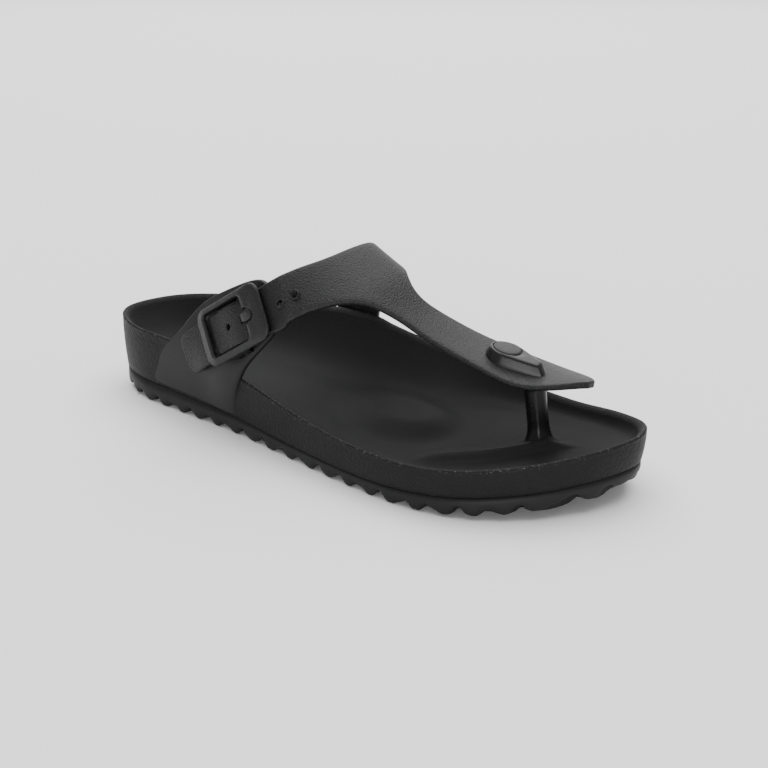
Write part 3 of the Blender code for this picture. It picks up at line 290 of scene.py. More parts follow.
def ray_to_plan(centre, angle):
    """The plan's point in the direction angle from centre."""
    around = np.unwrap(np.arctan2(PLAN[:, 1] - centre[1], PLAN[:, 0] - centre[0]))
    turn = 2 * math.pi
    for shifted in (angle - 2 * turn, angle - turn, angle, angle + turn, angle + 2 * turn):
        if around[0] <= shifted <= around[-1] or around[-1] <= shifted <= around[0]:
            order = np.argsort(around)
            index = np.interp(shifted, around[order], np.arange(len(PLAN))[order])
            low = int(index) % len(PLAN)
            share = index - int(index)
            return PLAN[low] * (1 - share) + PLAN[(low + 1) % len(PLAN)] * share
    nearest = int(np.argmin(np.abs((around - angle + math.pi) % turn - math.pi)))
    return PLAN[nearest]


def sole_stations(straight, heel, toe):
    """Stations round the rim: its points, the points of the middle line they face, and the ways outward."""
    heel_c = np.array([HEEL_CENTRE[0] * SOLE_LENGTH, HEEL_CENTRE[1] * BALL_WIDTH])
    toe_c = np.array([TOE_CENTRE[0] * SOLE_LENGTH, TOE_CENTRE[1] * BALL_WIDTH])
    xs = np.linspace(heel_c[0], toe_c[0], straight)
    ys = np.linspace(heel_c[1], toe_c[1], straight)
    found = []
    for x, y in zip(xs, ys):
        found.append((np.array([x, plan_edge(x, -1)]), np.array([x, y])))
    for i in range(1, toe):
        angle = math.radians(-90 + 180 * i / toe)
        found.append((ray_to_plan(toe_c, angle), toe_c))
    for x, y in zip(xs[::-1], ys[::-1]):
        found.append((np.array([x, plan_edge(x, 1)]), np.array([x, y])))
    for i in range(1, heel):
        angle = math.radians(90 + 180 * i / heel)
        found.append((ray_to_plan(heel_c, angle), heel_c))
    rim = np.array([f[0] for f in found])
    along = np.roll(rim, -1, axis=0) - np.roll(rim, 1, axis=0)
    out = np.stack([along[:, 1], -along[:, 0]], axis=1)
    out /= np.linalg.norm(out, axis=1)[:, None]
    return rim, np.array([f[1] for f in found]), out


def medial_share(x, y):
    """0 on the lateral side and 1 on the medial side, with a smooth change between."""
    return smoothstep(y, -0.12 * BALL_WIDTH, 0.22 * BALL_WIDTH)


def rim_height(x, y):
    u = min(1.0, max(0.0, x / SOLE_LENGTH))
    share = medial_share(x, y)
    return rim_lateral(u) * (1 - share) + rim_medial(u) * share


# ---- the surface that the uppers lie on ----------------------------------------------------


def last_point(x, turn):
    """A point of the foot's surface at x, turned about the instep: 0 is the crest, -90 the lateral
    spring line and 90 the medial one, below which it drops straight down the sole's wall."""
    side = -1 if turn < 0 else 1
    thickness = WING_THICKNESS if side < 0 else STRAP_THICKNESS
    reach = abs(plan_edge(x, side) - CREST_Y) - thickness
    rise = foot_crest(x / SOLE_LENGTH) - SPRING_LINE
    angle = math.radians(abs(turn))
    if angle <= math.pi / 2:
        return np.array([x, CREST_Y + side * reach * math.sin(angle), SPRING_LINE + rise * math.cos(angle)])
    drop = (angle - math.pi / 2) * rise
    lean = WALL_FLARE * drop / (SPRING_LINE - tread_line(x / SOLE_LENGTH))
    return np.array([x, CREST_Y + side * (reach - lean), SPRING_LINE - drop])


def last_turn(x, height, side):
    """The turn at which last_point is at this height."""
    rise = foot_crest(x / SOLE_LENGTH) - SPRING_LINE
    if height >= SPRING_LINE:
        return side * math.degrees(math.acos(min(1.0, (height - SPRING_LINE) / rise)))
    return side * (90 + math.degrees((SPRING_LINE - height) / rise))


def stem_turn(x, y):
    """The turn at which last_point is at this y, near the crest."""
    side = -1 if y < CREST_Y else 1
    thickness = WING_THICKNESS if side < 0 else STRAP_THICKNESS
    reach = abs(plan_edge(x, side) - CREST_Y) - thickness
    return side * math.degrees(math.asin(min(1.0, abs(y - CREST_Y) / reach)))


def last_normal(x, turn):
    """The way outward from the foot's surface."""
    dx = last_point(x + 0.5, turn) - last_point(x - 0.5, turn)
    dt = last_point(x, turn + 0.5) - last_point(x, turn - 0.5)
    normal = np.cross(dx, dt)
    normal /= np.linalg.norm(normal)
    point = last_point(x, turn)
    outward = point - np.array([x, CREST_Y, SPRING_LINE])
    outward[0] = 0
    return normal if normal @ outward > 0 else -normal


def buckle_axes():
    """The buckle's place on the foot's surface: origin, along the strap, across it and outwards."""
    x, height = BUCKLE_PLACE[0] * SOLE_LENGTH, BUCKLE_PLACE[1]
    turn = last_turn(x, height, -1)
    origin, outward = last_point(x, turn), last_normal(x, turn)
    climb = math.radians(BUCKLE_CLIMB)
    along = np.array([math.cos(climb), 0.0, math.sin(climb)])
    along -= outward * (along @ outward)
    along /= np.linalg.norm(along)
    return origin, along, np.cross(along, outward), outward


BUCKLE_O, BUCKLE_ALONG, BUCKLE_ACROSS, BUCKLE_OUT = buckle_axes()
WINDOW_REAR, WINDOW_FRONT = -FRAME_WINDOW / 2 - 0.2, FRAME_WINDOW / 2 - 0.2
FRAME_REAR, FRAME_FRONT = WINDOW_REAR - FRAME_REAR_BAR, WINDOW_FRONT + FRAME_FRONT_BAR
FRAME_HALF_WIDTH = STRAP_END_WIDTH / 2 + SIDE_GAP + FRAME_RAIL
LUG_RADIUS = AXLE_RADIUS + AXLE_PLAY + LUG_WALL
AXLE_LIFT = WING_THICKNESS + 0.6  # of the axle above the foot's surface
STRAP_ON_WING = WING_THICKNESS + FIT_GAP
STRAP_HUMP = AXLE_LIFT + LUG_RADIUS + FIT_GAP - STRAP_ON_WING  # where the strap crosses the axle
BAR_LIFT = STRAP_ON_WING + STRAP_THICKNESS + 0.5
FRAME_TOP = BAR_LIFT + FRAME_BAR_HEIGHT


def buckle_point(s, t, lift):
    """A point s along the strap from the axle, t across it and lift above the foot's surface."""
    return BUCKLE_O + BUCKLE_ALONG * s + BUCKLE_ACROSS * t + BUCKLE_OUT * lift


def on_last(x, turn, lift):
    """A point lift above the foot's surface, which is drawn to the buckle's plane near the buckle."""
    point = last_point(x, turn)
    offset = point - BUCKLE_O
    s, t = abs(offset @ BUCKLE_ALONG), abs(offset @ BUCKLE_ACROSS)
    near = (1 - smoothstep(max(s - 4, t), 16, 30)) * (1 - smoothstep(abs(offset @ BUCKLE_OUT), 14, 22))
    normal = last_normal(x, turn) * (1 - near) + BUCKLE_OUT * near
    return point - BUCKLE_OUT * near * (offset @ BUCKLE_OUT) + normal / np.linalg.norm(normal) * lift


# ---- finishes ------------------------------------------------------------------------------


class Value:
    """A number or colour in a material's nodes, so that a pattern is written as a sum."""

    def __init__(self, finish, socket):
        self.finish, self.socket = finish, socket

    def _maths(self, operation, *others):
        return self.finish.node("ShaderNodeMath", {"operation": operation}, *others)

    def __add__(self, other):
        return self._maths("ADD", self, other)

    __radd__ = __add__

    def __sub__(self, other):
        return self._maths("SUBTRACT", self, other)

    def __rsub__(self, other):
        return self._maths("SUBTRACT", other, self)

    def __mul__(self, other):
        return self._maths("MULTIPLY", self, other)

    __rmul__ = __mul__

    def between(self, low, high):
        """0 at low and 1 at high, with a soft change between."""
        settings = {"interpolation_type": "SMOOTHSTEP"}
        return self.finish.node("ShaderNodeMapRange", settings, self, low, high, 0.0, 1.0)


class Finish:
    """One material: a plain shader, and the nodes that vary it."""

    def __init__(self, name, colour, roughness, metallic=0.0):
        self.material = bpy.data.materials.new(name)
        self.material.use_nodes = True
        self.tree = self.material.node_tree
        self.shader = self.tree.nodes["Principled BSDF"]
        self.shader.inputs["Base Color"].default_value = (*colour, 1)
        self.shader.inputs["Roughness"].default_value = roughness
        self.shader.inputs["Metallic"].default_value = metallic
        self.place = self.node("ShaderNodeTexCoord", {}, output="Object")

    def node(self, kind, settings, *values, output=0, **named):
        made = self.tree.nodes.new(kind)
        for key, value in settings.items():
            setattr(made, key, value)
        for key, value in [*enumerate(values), *named.items()]:
            self._feed(made.inputs[key], value)
        return Value(self, made.outputs[output])

    def _feed(self, socket, value):
        if isinstance(value, Value):
            self.tree.links.new(value.socket, socket)
        else:
            socket.default_value = value

    def attribute(self, name):
        return self.node("ShaderNodeAttribute", {"attribute_name": name}, output="Fac")

    def noise(self, scale, detail=3.0, roughness=0.5, place=None):
        return self.node("ShaderNodeTexNoise", {}, output="Fac", Vector=place or self.place, Scale=scale,
                         Detail=detail, Roughness=roughness)

    def cells(self, scale, feature="F1", smoothness=None, place=None):
        named = {"Vector": place or self.place, "Scale": scale}
        if smoothness is not None:
            named["Smoothness"] = smoothness
        return self.node("ShaderNodeTexVoronoi", {"feature": feature}, output="Distance", **named)

    def warped(self, scale, amount):
        """The place on the surface, pushed about by noise, so that cells lose their straight edges."""
        push = self.node("ShaderNodeTexNoise", {}, output="Color", Vector=self.place, Scale=scale, Detail=2.0)
        centred = self.node("ShaderNodeVectorMath", {"operation": "SUBTRACT"}, push, (0.5, 0.5, 0.5))
        scaled = self.node("ShaderNodeVectorMath", {"operation": "MULTIPLY"}, centred, (amount,) * 3)
        return self.node("ShaderNodeVectorMath", {"operation": "ADD"}, self.place, scaled)

    def colours(self, amount, dark, light):
        """A mix of two colours by amount."""
        made = self.tree.nodes.new("ShaderNodeMix")
        made.data_type = "RGBA"
        self._feed(made.inputs["Factor"], amount)
        sockets = [socket for socket in made.inputs if socket.type == "RGBA"]
        for socket, colour in zip(sockets, (dark, light)):
            self._feed(socket, colour if isinstance(colour, Value) else (*colour, 1))
        return Value(self, next(socket for socket in made.outputs if socket.type == "RGBA"))

    def set(self, socket, value):
        self._feed(self.shader.inputs[socket], value)

    def relief(self, *layers):
        """Bumps in the surface: (height, depth in metres, strength) layers, one on another."""
        normal = None
        for height, depth, strength in layers:
            made = self.tree.nodes.new("ShaderNodeBump")
            made.inputs["Strength"].default_value = strength
            made.inputs["Distance"].default_value = depth
            self._feed(made.inputs["Height"], height)
            if normal:
                self.tree.links.new(normal, made.inputs["Normal"])
            normal = made.outputs["Normal"]
        self.tree.links.new(normal, self.shader.inputs["Normal"])


FOAM = (0.0070, 0.0071, 0.0073)


def footbed_finish():
    """Pebbled wall, light-flecked rim and a finely grained, dull footbed, told apart by the mesh's
    attributes; the pebbles' sunken edges are darkened with painted shade.
    """
    f = Finish("footbed_foam", FOAM, 0.6)
    pebble = f.attribute("pebble")
    rim = f.attribute("rim")
    warped = f.warped(900.0, 0.0009)
    cells = f.cells(820.0, "SMOOTH_F1", 0.35, warped)
    fine = f.noise(3200.0, 4.0, 0.65)
    cloud = f.noise(38.0, 3.0)
    # light, shinier flecks along the rim, strongest on its rounded top
    fleck = f.noise(1500.0, 2.0, 0.6).between(0.6, 0.72) * rim
    # the pebbles are darker at their sunken edges, where the bump drops: painted shade in the grooves
    shade = (cloud - 0.5) * 0.5 + fine * 0.22 + 0.35 + pebble * (0.12 - cells * 0.25)
    foam = f.colours(shade, (0.0035, 0.0036, 0.0037), (0.012, 0.0121, 0.0125))
    f.set("Base Color", f.colours(fleck, foam, (0.11, 0.11, 0.115)))
    f.set("Roughness", 0.66 - pebble * 0.12 + (fine - 0.5) * 0.2 - fleck * 0.2)
    f.relief((cells * pebble * -1.0, 0.0004, 0.5), (fine, 0.00010, 0.5))
    f.set("Specular IOR Level", 0.14)
    return f.material


def strap_finish(name="strap_foam", grain=1.0, roughness=0.42, lift=1.0):
    """Leather-like grain moulded in foam: small uneven cells with creases, and a soft shine; the cells' edges
    and the creases are darkened with painted shade.
    """
    f = Finish(name, FOAM, roughness)
    warped = f.warped(1100.0, 0.0007)
    cells = f.cells(1500.0, "SMOOTH_F1", 0.4, warped)
    creases = f.cells(760.0, "DISTANCE_TO_EDGE", None, warped).between(0.0, 0.16)
    fine = f.noise(2600.0, 3.0, 0.6)
    cloud = f.noise(45.0, 3.0)
    # the cells' sunken edges and the creases are made darker here, matching the bump: painted shade in the
    # grain
    shade = (cloud - 0.5) * 0.6 + 0.45 + (0.3 - cells * 0.5) * 0.4 + (creases - 1.0) * 0.12
    f.set("Base Color", f.colours(shade, (0.005 * lift, 0.005 * lift, 0.0053 * lift),
                                  (0.0115 * lift, 0.0116 * lift, 0.0123 * lift)))
    f.set("Roughness", roughness + (fine - 0.5) * 0.22 + (cloud - 0.5) * 0.1)
    f.relief((creases, 0.00010 * grain, 0.4), (cells * -1.0, 0.0004 * grain, 0.6), (fine, 0.00008, 0.5))
    f.set("Specular IOR Level", 0.28)
    return f.material


def smooth_finish(name, dark, light, roughness, shine=0.24, marks=0.00006):
    """Smooth moulded foam or plastic, with a faint bloom and fine marks."""
    f = Finish(name, light, roughness)
    cloud, fine = f.noise(55.0, 4.0), f.noise(2200.0, 3.0, 0.6)
    f.set("Base Color", f.colours((cloud - 0.5) * 0.8 + 0.4 + fine * 0.15, dark, light))
    f.set("Roughness", roughness + (cloud - 0.5) * 0.12 + (fine - 0.5) * 0.12)
    f.relief((fine, marks, 0.5))
    f.set("Specular IOR Level", shine)
    return f.material


def steel_finish():
    """Brushed steel."""
    f = Finish("axle_steel", (0.55, 0.55, 0.57), 0.32, 1.0)
    brushed = f.noise(900.0, 2.0)
    f.set("Roughness", 0.26 + brushed * 0.16)
    return f.material


# ---- mesh making ---------------------------------------------------------------------------


def placed(name, bm, finish):
    """An object from a bmesh in sandal millimetres, moved to the frame's metres."""
    bm.transform(Matrix.Scale(MM, 4) @ Matrix.Translation(Vector(SANDAL_SHIFT)))
    mesh = bpy.data.meshes.new(name)
    bm.to_mesh(mesh)
    bm.free()
    mesh.shade_smooth()
    mesh.materials.append(finish)
    obj = bpy.data.objects.new(name, mesh)
    bpy.context.scene.collection.objects.link(obj)
    return obj


def finished(name, bm, slot, finish, body="sandal", stands_for=(), sharp=40):
    """A closed or open piece from a bmesh, facing outward and riding on its body."""
    bmesh.ops.recalc_face_normals(bm, faces=bm.faces)
    if len(bm.faces) and all(e.is_manifold for e in bm.edges) and bm.calc_volume(signed=True) < 0:
        bmesh.ops.reverse_faces(bm, faces=bm.faces)
    obj = placed(name, bm, finish)
    if sharp:
        obj.data.set_sharp_from_angle(angle=math.radians(sharp))
    if slot:
        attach(obj, body)
    if stands_for:
        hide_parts(*stands_for)
    return obj


def settle(obj):
    """Makes the object's modifiers part of its mesh."""
    evaluated = obj.evaluated_get(bpy.context.evaluated_depsgraph_get())
    mesh = bpy.data.meshes.new_from_object(evaluated)
    obj.modifiers.clear()
    old, obj.data = obj.data, mesh
    bpy.data.meshes.remove(old)


def drill(obj, cutters):
    """Cuts the given bmeshes, in sandal millimetres, out of the object."""
    for index, bm in enumerate(cutters):
        cutter = finished(f"{obj.name}_cut_{index}", bm, None, obj.data.materials[0], sharp=0)
        made = obj.modifiers.new("hole", "BOOLEAN")
        made.operation, made.solver, made.object = "DIFFERENCE", "EXACT", cutter
        settle(obj)
        bpy.data.objects.remove(cutter)


def loft(rings, capped=True):
    """A bmesh through closed rings of equal length, with a flat face at each end unless it is left open."""
    bm = bmesh.new()
    rows = [[bm.verts.new(p) for p in ring] for ring in rings]
    for a, b in zip(rows, rows[1:]):
        for i in range(len(a)):
            j = (i + 1) % len(a)
            bm.faces.new((a[i], a[j], b[j], b[i]))
    if capped:
        bm.faces.new(rows[0][::-1])
        bm.faces.new(rows[-1])
    return bm


def grid_quads(grid):
    """Quads over a grid of point numbers."""
    return [(grid[i][j], grid[i][j + 1], grid[i + 1][j + 1], grid[i + 1][j])
            for i in range(len(grid) - 1) for j in range(len(grid[0]) - 1)]


def cylinder(start, end, radius, segments):
    """A bmesh cylinder between two points."""
    start, end = Vector(start), Vector(end)
    axis = end - start
    bm = bmesh.new()
    bmesh.ops.create_cone(bm, cap_ends=True, segments=segments, radius1=radius, radius2=radius,
                          depth=axis.length)
    turn = axis.to_track_quat("Z", "Y").to_matrix().to_4x4()
    bm.transform(Matrix.Translation((start + end) / 2) @ turn)
    return bm


def buckle_box(s, t, lift):
    """A bmesh box in the buckle's own directions, between pairs of limits."""
    bm = bmesh.new()
    bmesh.ops.create_cube(bm, size=1)
    for vert in bm.verts:
        place = [limits[0] if part < 0 else limits[1] for limits, part in zip((s, t, lift), vert.co)]
        vert.co = buckle_point(*place)
    return bm


def open_sheet(points, quads, outward):
    """A one-sided bmesh sheet through points, facing the way outward says at its first point."""
    bm = bmesh.new()
    verts = [bm.verts.new(p) for p in points]
    for quad in quads:
        bm.faces.new([verts[i] for i in quad])
    bmesh.ops.recalc_face_normals(bm, faces=bm.faces)
    bm.normal_update()
    if verts[0].link_faces[0].normal.dot(Vector(outward)) < 0:
        bmesh.ops.reverse_faces(bm, faces=bm.faces)
    return bm


def thick_sheet(name, bm, finish, thickness, stands_for):
    """A foam sheet thickened outwards, then smoothed so that its edges are rounded."""
    obj = placed(name, bm, finish)
    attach(obj, "sandal")
    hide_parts(stands_for)
    wall = obj.modifiers.new("thickness", "SOLIDIFY")
    wall.thickness, wall.offset, wall.use_even_offset = thickness * MM, 1.0, True
    wall.edge_crease_inner, wall.edge_crease_outer, wall.edge_crease_rim = 0.35, 0.25, 0.0
    smooth = obj.modifiers.new("smooth", "SUBSURF")
    smooth.levels = smooth.render_levels = SHEET_LEVELS
    settle(obj)
    return obj


def soften_edges(obj, width, segments=3, angle=50):
    """Rounds the edges that are sharper than the angle, by a width in millimetres."""
    rounding = obj.modifiers.new("edges", "BEVEL")
    rounding.width, rounding.segments = width * MM, segments
    rounding.limit_method, rounding.angle_limit = "ANGLE", math.radians(angle)
    rounding.harden_normals = False
    settle(obj)
    obj.data.shade_smooth()


# ---- sole ----------------------------------------------------------------------------------


def line_distance(x, y, line):
    """Distance from a bent line, positive ahead of it, and how far along it is the nearest point (0 to 1)."""
    best = None
    total = sum(math.dist(a, b) for a, b in zip(line, line[1:]))
    done = 0.0
    for a, b in zip(line, line[1:]):
        size = math.dist(a, b)
        dx, dy = (b[0] - a[0]) / size, (b[1] - a[1]) / size
        t = min(size, max(0.0, (x - a[0]) * dx + (y - a[1]) * dy))
        ex, ey = x - a[0] - dx * t, y - a[1] - dy * t
        distance = math.hypot(ex, ey)
        if best is None or distance < best[0]:
            ahead = 1 if (ex * dy - ey * dx) > 0 else -1
            best = (distance, ahead, (done + t) / total)
        done += size
    return best[0] * best[1], best[2]


def footbed_relief(x, y):
    """The moulded pad behind the toes and the ridge that the toes grip."""
    u = (x - PAD_CENTRE[0] * SOLE_LENGTH) / PAD_RADII[0]
    v = (y - PAD_CENTRE[1] * BALL_WIDTH) / PAD_RADII[1]
    r = math.hypot(u, v)
    edge = 0.15 + 0.4 * smoothstep(u - 0.6 * v, -0.5, 0.8)
    pad = PAD_HEIGHT * (1 - smoothstep(r, edge, 1.05))
    ahead, share = line_distance(x, y, RIDGE_LINE)
    fade = smoothstep(share, 0.0, 0.25) * (1 - smoothstep(share, 0.75, 1.0))
    width = 1.5 if ahead > 0 else 6.0
    ridge = RIDGE_HEIGHT * fade * math.exp(-((ahead / width) ** 2))
    toe_dip = -0.6 * math.exp(-(((ahead - 7) / 6) ** 2)) * fade
    away = math.hypot(x - POST_FOOT_PLACE[0] * SOLE_LENGTH, y - POST_FOOT_PLACE[1])
    skirt = SKIRT_HEIGHT * math.exp(-max(0.0, away - POST_RADIUS + 0.3) / 2.3)
    return pad + max(ridge, skirt) + min(ridge, skirt) * 0.4 + toe_dip * (1 - math.exp(-((away / 12) ** 2)))


def footbed_point(rim, middle, out, share):
    """A point of the footbed's upper face, share of the way from the middle line to the rim's inner edge."""
    edge = rim - out * RIM_WIDTH
    x, y = middle + (edge - middle) * share
    u = min(1.0, max(0.0, x / SOLE_LENGTH))
    side = medial_share(*rim)
    power = cup_lateral(u) * (1 - side) + cup_medial(u) * side
    power *= 1 + 1.1 * smoothstep(u, 0.58, 0.78)
    low, high = footbed_height(u), rim_height(*rim) - RIM_FALL
    return (x, y, low + (high - low) * share ** power + footbed_relief(x, y) * (1 - share ** 6))


def wall_swell(share):
    """The wall bulges a little between the tread line and the rim."""
    return 0.5 * math.sin(math.pi * share) - 0.25


def footbed(finish):
    """The footbed with its wall and rim; its points carry how pebbled they are and how many light flecks they
    show.
    """
    rim, middle, out = sole_stations(straight=110, heel=40, toe=44)
    count = len(rim)
    rings, pebble, rim_flecks = [], [], []

    def add(points, grain, rim_fleck):
        rings.append(points)
        pebble.append(grain)
        rim_flecks.append(rim_fleck)

    for share in (0.02, 0.5, 0.96):
        ring = []
        for r, m, o in zip(rim, middle, out):
            x, y = m + (r - o * (WALL_FLARE + 1) - m) * share
            ring.append((x, y, tread_edge(x) + FIT_GAP))
        add(ring, 0, 0)
    for k in range(WALL_STEPS + 1):
        share = k / WALL_STEPS
        ring = []
        for r, o in zip(rim, out):
            base = tread_edge(r[0]) + FIT_GAP
            top = rim_height(*r) - RIM_ROUND
            x, y = r - o * (WALL_FLARE * (1 - share) ** 1.5 - wall_swell(share) * 0.4)
            ring.append((x, y, base + (top - base) * share))
        add(ring, 1, smoothstep(share, 0.86, 1.0) * 0.35)
    for k in range(1, RIM_STEPS + 1):
        angle = math.pi / 2 * k / RIM_STEPS
        ring = []
        for r, o in zip(rim, out):
            x, y = r - o * RIM_ROUND * (1 - math.cos(angle))
            ring.append((x, y, rim_height(*r) - RIM_ROUND * (1 - math.sin(angle))))
        add(ring, 1 - 0.5 * k / RIM_STEPS, 1.0)
    ring = []
    for r, o in zip(rim, out):
        x, y = r - o * (RIM_ROUND + (RIM_WIDTH - RIM_ROUND) * 0.5)
        ring.append((x, y, rim_height(*r) - RIM_DROP))
    add(ring, 0.4, 0.3)
    for k in range(FOOTBED_STEPS):
        share = 1 - (k / (FOOTBED_STEPS - 1)) ** 1.5
        ring = [footbed_point(r, m, o, share) for r, m, o in zip(rim, middle, out)]
        add(ring, 0.45 * smoothstep(share, 0.72, 0.95), 0)
    bm = loft(rings, capped=False)
    bm.verts.ensure_lookup_table()
    layers = [bm.verts.layers.float.new(name) for name in ("pebble", "rim")]
    for i, vert in enumerate(bm.verts):
        vert[layers[0]], vert[layers[1]] = pebble[i // count], rim_flecks[i // count]
    bmesh.ops.remove_doubles(bm, verts=bm.verts, dist=0.02)
    return finished("footbed_foam", bm, "footbed_foam", finish, stands_for=("footbed",), sharp=0)


def tread_valley(x, y):
    """0 on a lug and about 1 at the bottom of a notch, in zigzag rows of slightly uneven depth."""
    steps = int(2 * BALL_WIDTH * 0.62 / TREAD_ZIGZAG_STEP) + 1
    place = y / TREAD_ZIGZAG_STEP + steps / 2
    low = math.floor(place)
    shifts = [TREAD_ZIGZAG / 2 if i % 2 else -TREAD_ZIGZAG / 2 for i in (low, low + 1)]
    mix = smoothstep(place - low, 0.0, 1.0)
    shift = shifts[0] * (1 - mix) + shifts[1] * mix
    count = int((SOLE_LENGTH - 2 * TREAD_PITCH) / TREAD_PITCH) + 1
    first = (SOLE_LENGTH - (count - 1) * TREAD_PITCH) / 2
    phase = (x - shift - first) / TREAD_PITCH
    return (0.5 + 0.5 * math.cos(2 * math.pi * phase)) ** 1.25 * (0.85 + 0.25 * math.sin(x * 0.9 + 1))


def outsole(finish):
    """The tread layer: a wall that the notches run out through, and the lugged underside."""
    rim, middle, out = sole_stations(straight=210, heel=64, toe=64)

    def under(share):
        ring = []
        for r, m, o in zip(rim, middle, out):
            edge = r - o * (WALL_FLARE + 1.3)
            x, y = m + (edge - m) * share
            valley = tread_valley(x, y)
            ring.append((x, y, spring(x) + TREAD_DEPTH * valley))
        return ring

    def side(inset, rise, notch):
        ring = []
        for r, o in zip(rim, out):
            valley = tread_valley(*r)
            x, y = r - o * (inset + 0.8 * valley * notch)
            ring.append((x, y, spring(r[0]) + rise + TREAD_DEPTH * valley * notch))
        return ring

    top = []
    for r, m, o in zip(rim, middle, out):
        x, y = r - o * (WALL_FLARE + 0.4)
        top.append((x, y, tread_edge(r[0])))
    inner = [(*m, tread_edge(m[0])) for m in middle]
    rings = [inner, top]
    for inset, rise, notch in ((WALL_FLARE + 0.3, 5.0, 0.0), (WALL_FLARE + 0.2, 3.8, 0.15),
                               (WALL_FLARE + 0.25, 2.2, 0.5), (WALL_FLARE + 0.45, 0.9, 0.85),
                               (WALL_FLARE + 0.85, 0.25, 1.0)):
        rings.append(side(inset, rise, notch))
    rings += [under(1 - k / TREAD_STEPS) for k in range(TREAD_STEPS + 1)]
    bm = loft(rings, capped=False)
    bmesh.ops.remove_doubles(bm, verts=bm.verts, dist=0.02)
    return finished("tread", bm, "tread_foam", finish, stands_for=("outsole",), sharp=0)


# ---- uppers --------------------------------------------------------------------------------


def wing_rows(columns=7):
    """The wing as rows from its foot to its round end, each from rear to front, on the foot's surface."""
    out = []
    for (u_rear, z_rear), (u_front, z_front) in zip(WING_REAR, WING_FRONT):
        rear, front = np.array([u_rear * SOLE_LENGTH, z_rear]), np.array([u_front * SOLE_LENGTH, z_front])
        out.append([rear + (front - rear) * j / (columns - 1) for j in range(columns)])
    for point in out[0]:
        point[1] = tread_line(point[0] / SOLE_LENGTH) + FIT_GAP + WING_LIFT
    return [[(x, last_turn(x, z, -1)) for x, z in row] for row in out]


def lateral_quarter(finish):
    """The wing: a foam tab let into the wall, with the ridge that the buckle's axle turns in."""
    rows = wing_rows()
    places = [place for row in rows for place in row]
    width = len(rows[0])
    grid = [[i * width + j for j in range(width)] for i in range(len(rows))]
    points = [on_last(x, turn, SHEET_LIFT) for x, turn in places]
    sheet = open_sheet(points, grid_quads(grid), last_normal(*places[0]))
    wing = thick_sheet("lateral_wing", sheet, finish, WING_THICKNESS, "lateral_quarter")
    inner, outer = FRAME_HALF_WIDTH - FRAME_RAIL - 0.2, FRAME_HALF_WIDTH + 0.15
    slots = [buckle_box((-WING_SLOT_REACH, WING_SLOT_REACH), limits, (WING_SLOT_FLOOR, STRAP_ON_WING + 2))
             for limits in ((-outer, -inner), (inner, outer))]
    side = PRONG_WIRE_RADIUS + PRONG_NOTCH_GAP
    slots.append(buckle_box((-LUG_RADIUS - 1.2, 9.0), (-side, side),
                            (AXLE_LIFT - LUG_RADIUS - 0.5, AXLE_LIFT + 4)))
    drill(wing, slots)
    half = STRAP_END_WIDTH / 2 - 0.3
    for name, low, high in (("rear", -half, -side), ("front", side, half)):
        ridge = cylinder(buckle_point(0, low, AXLE_LIFT), buckle_point(0, high, AXLE_LIFT), LUG_RADIUS, 40)
        ridge = finished(f"axle_ridge_{name}", ridge, "quarter_foam", finish)
        soften_edges(ridge, 0.3)
    return wing


def strap_lift(point):
    """How far the strap's underside stands off the foot's surface: on the wing, over the axle, or 0."""
    offset = point - BUCKLE_O
    s, t = offset @ BUCKLE_ALONG, abs(offset @ BUCKLE_ACROSS)
    on_wing = 1 - smoothstep(max(s, t), FRAME_FRONT + 7, FRAME_FRONT + 22) + 0.2 * smoothstep(-s, 18, 27)
    over_axle = (0.85 * smoothstep(s, WINDOW_REAR - 0.8, WINDOW_REAR + 2.0) + 0.15 * smoothstep(s, -7, 1)) * (
        1 - smoothstep(s, 3.5, WINDOW_FRONT - 0.6))
    return STRAP_ON_WING * on_wing + (STRAP_HUMP + EXTRA_HUMP) * over_axle * (1 if t < STRAP_END_WIDTH else 0)


def buckle_place(s, t):
    """The (x, turn) whose point on the flattened surface is s along the strap and t across it."""
    target = buckle_point(s, t, 0)
    x, z = target[0], target[2]
    for _ in range(4):
        point = on_last(x, last_turn(x, z, -1), 0)
        x, z = x + target[0] - point[0], z + target[2] - point[2]
    return (x, last_turn(x, z, -1))


def strap_rows(columns=5):
    """The band's rows from the tail to the quarter's lower edge, each from its rear edge to its front one."""
    rows = []
    half = STRAP_END_WIDTH / 2
    tail = -math.hypot((BUCKLE_PLACE[0] - TAIL_END[0]) * SOLE_LENGTH, BUCKLE_PLACE[1] - TAIL_END[1])
    for s, share in ((tail, 0.72), (tail + 1.2, 0.9), (tail + 3.5, 1.0)):
        rows.append([buckle_place(s + (0 if abs(c) < 1 else 0.6), c * half * share) for c in spread(columns)])
    for s in (-28, -24, FRAME_REAR - 1, WINDOW_REAR - 0.9, WINDOW_REAR + 0.5, WINDOW_REAR + 2.2, -8, -5, -2.6,
              1.5, 5.5, 8.5, WINDOW_FRONT - 0.4, 17, 21, FRAME_FRONT + 2, FRAME_FRONT + 5.5):
        wider = 2.4 * smoothstep(s, WINDOW_FRONT, FRAME_FRONT + 2)
        rows.append([buckle_place(s, c * half + max(0.0, c) * wider) for c in spread(columns)])
    sections = []
    for (u_rear, turn_rear), (u_front, turn_front) in BAND_EDGES:
        sections.append([(u_rear + (u_front - u_rear) * (c + 1) / 2, turn_rear + (turn_front - turn_rear)
                          * (c + 1) / 2) for c in spread(columns)])
    rows += [[(u * SOLE_LENGTH, turn) for u, turn in section] for section in sections]
    return rows


def spread(count):
    """Evenly spaced values from -1 to 1."""
    return [2 * j / (count - 1) - 1 for j in range(count)]


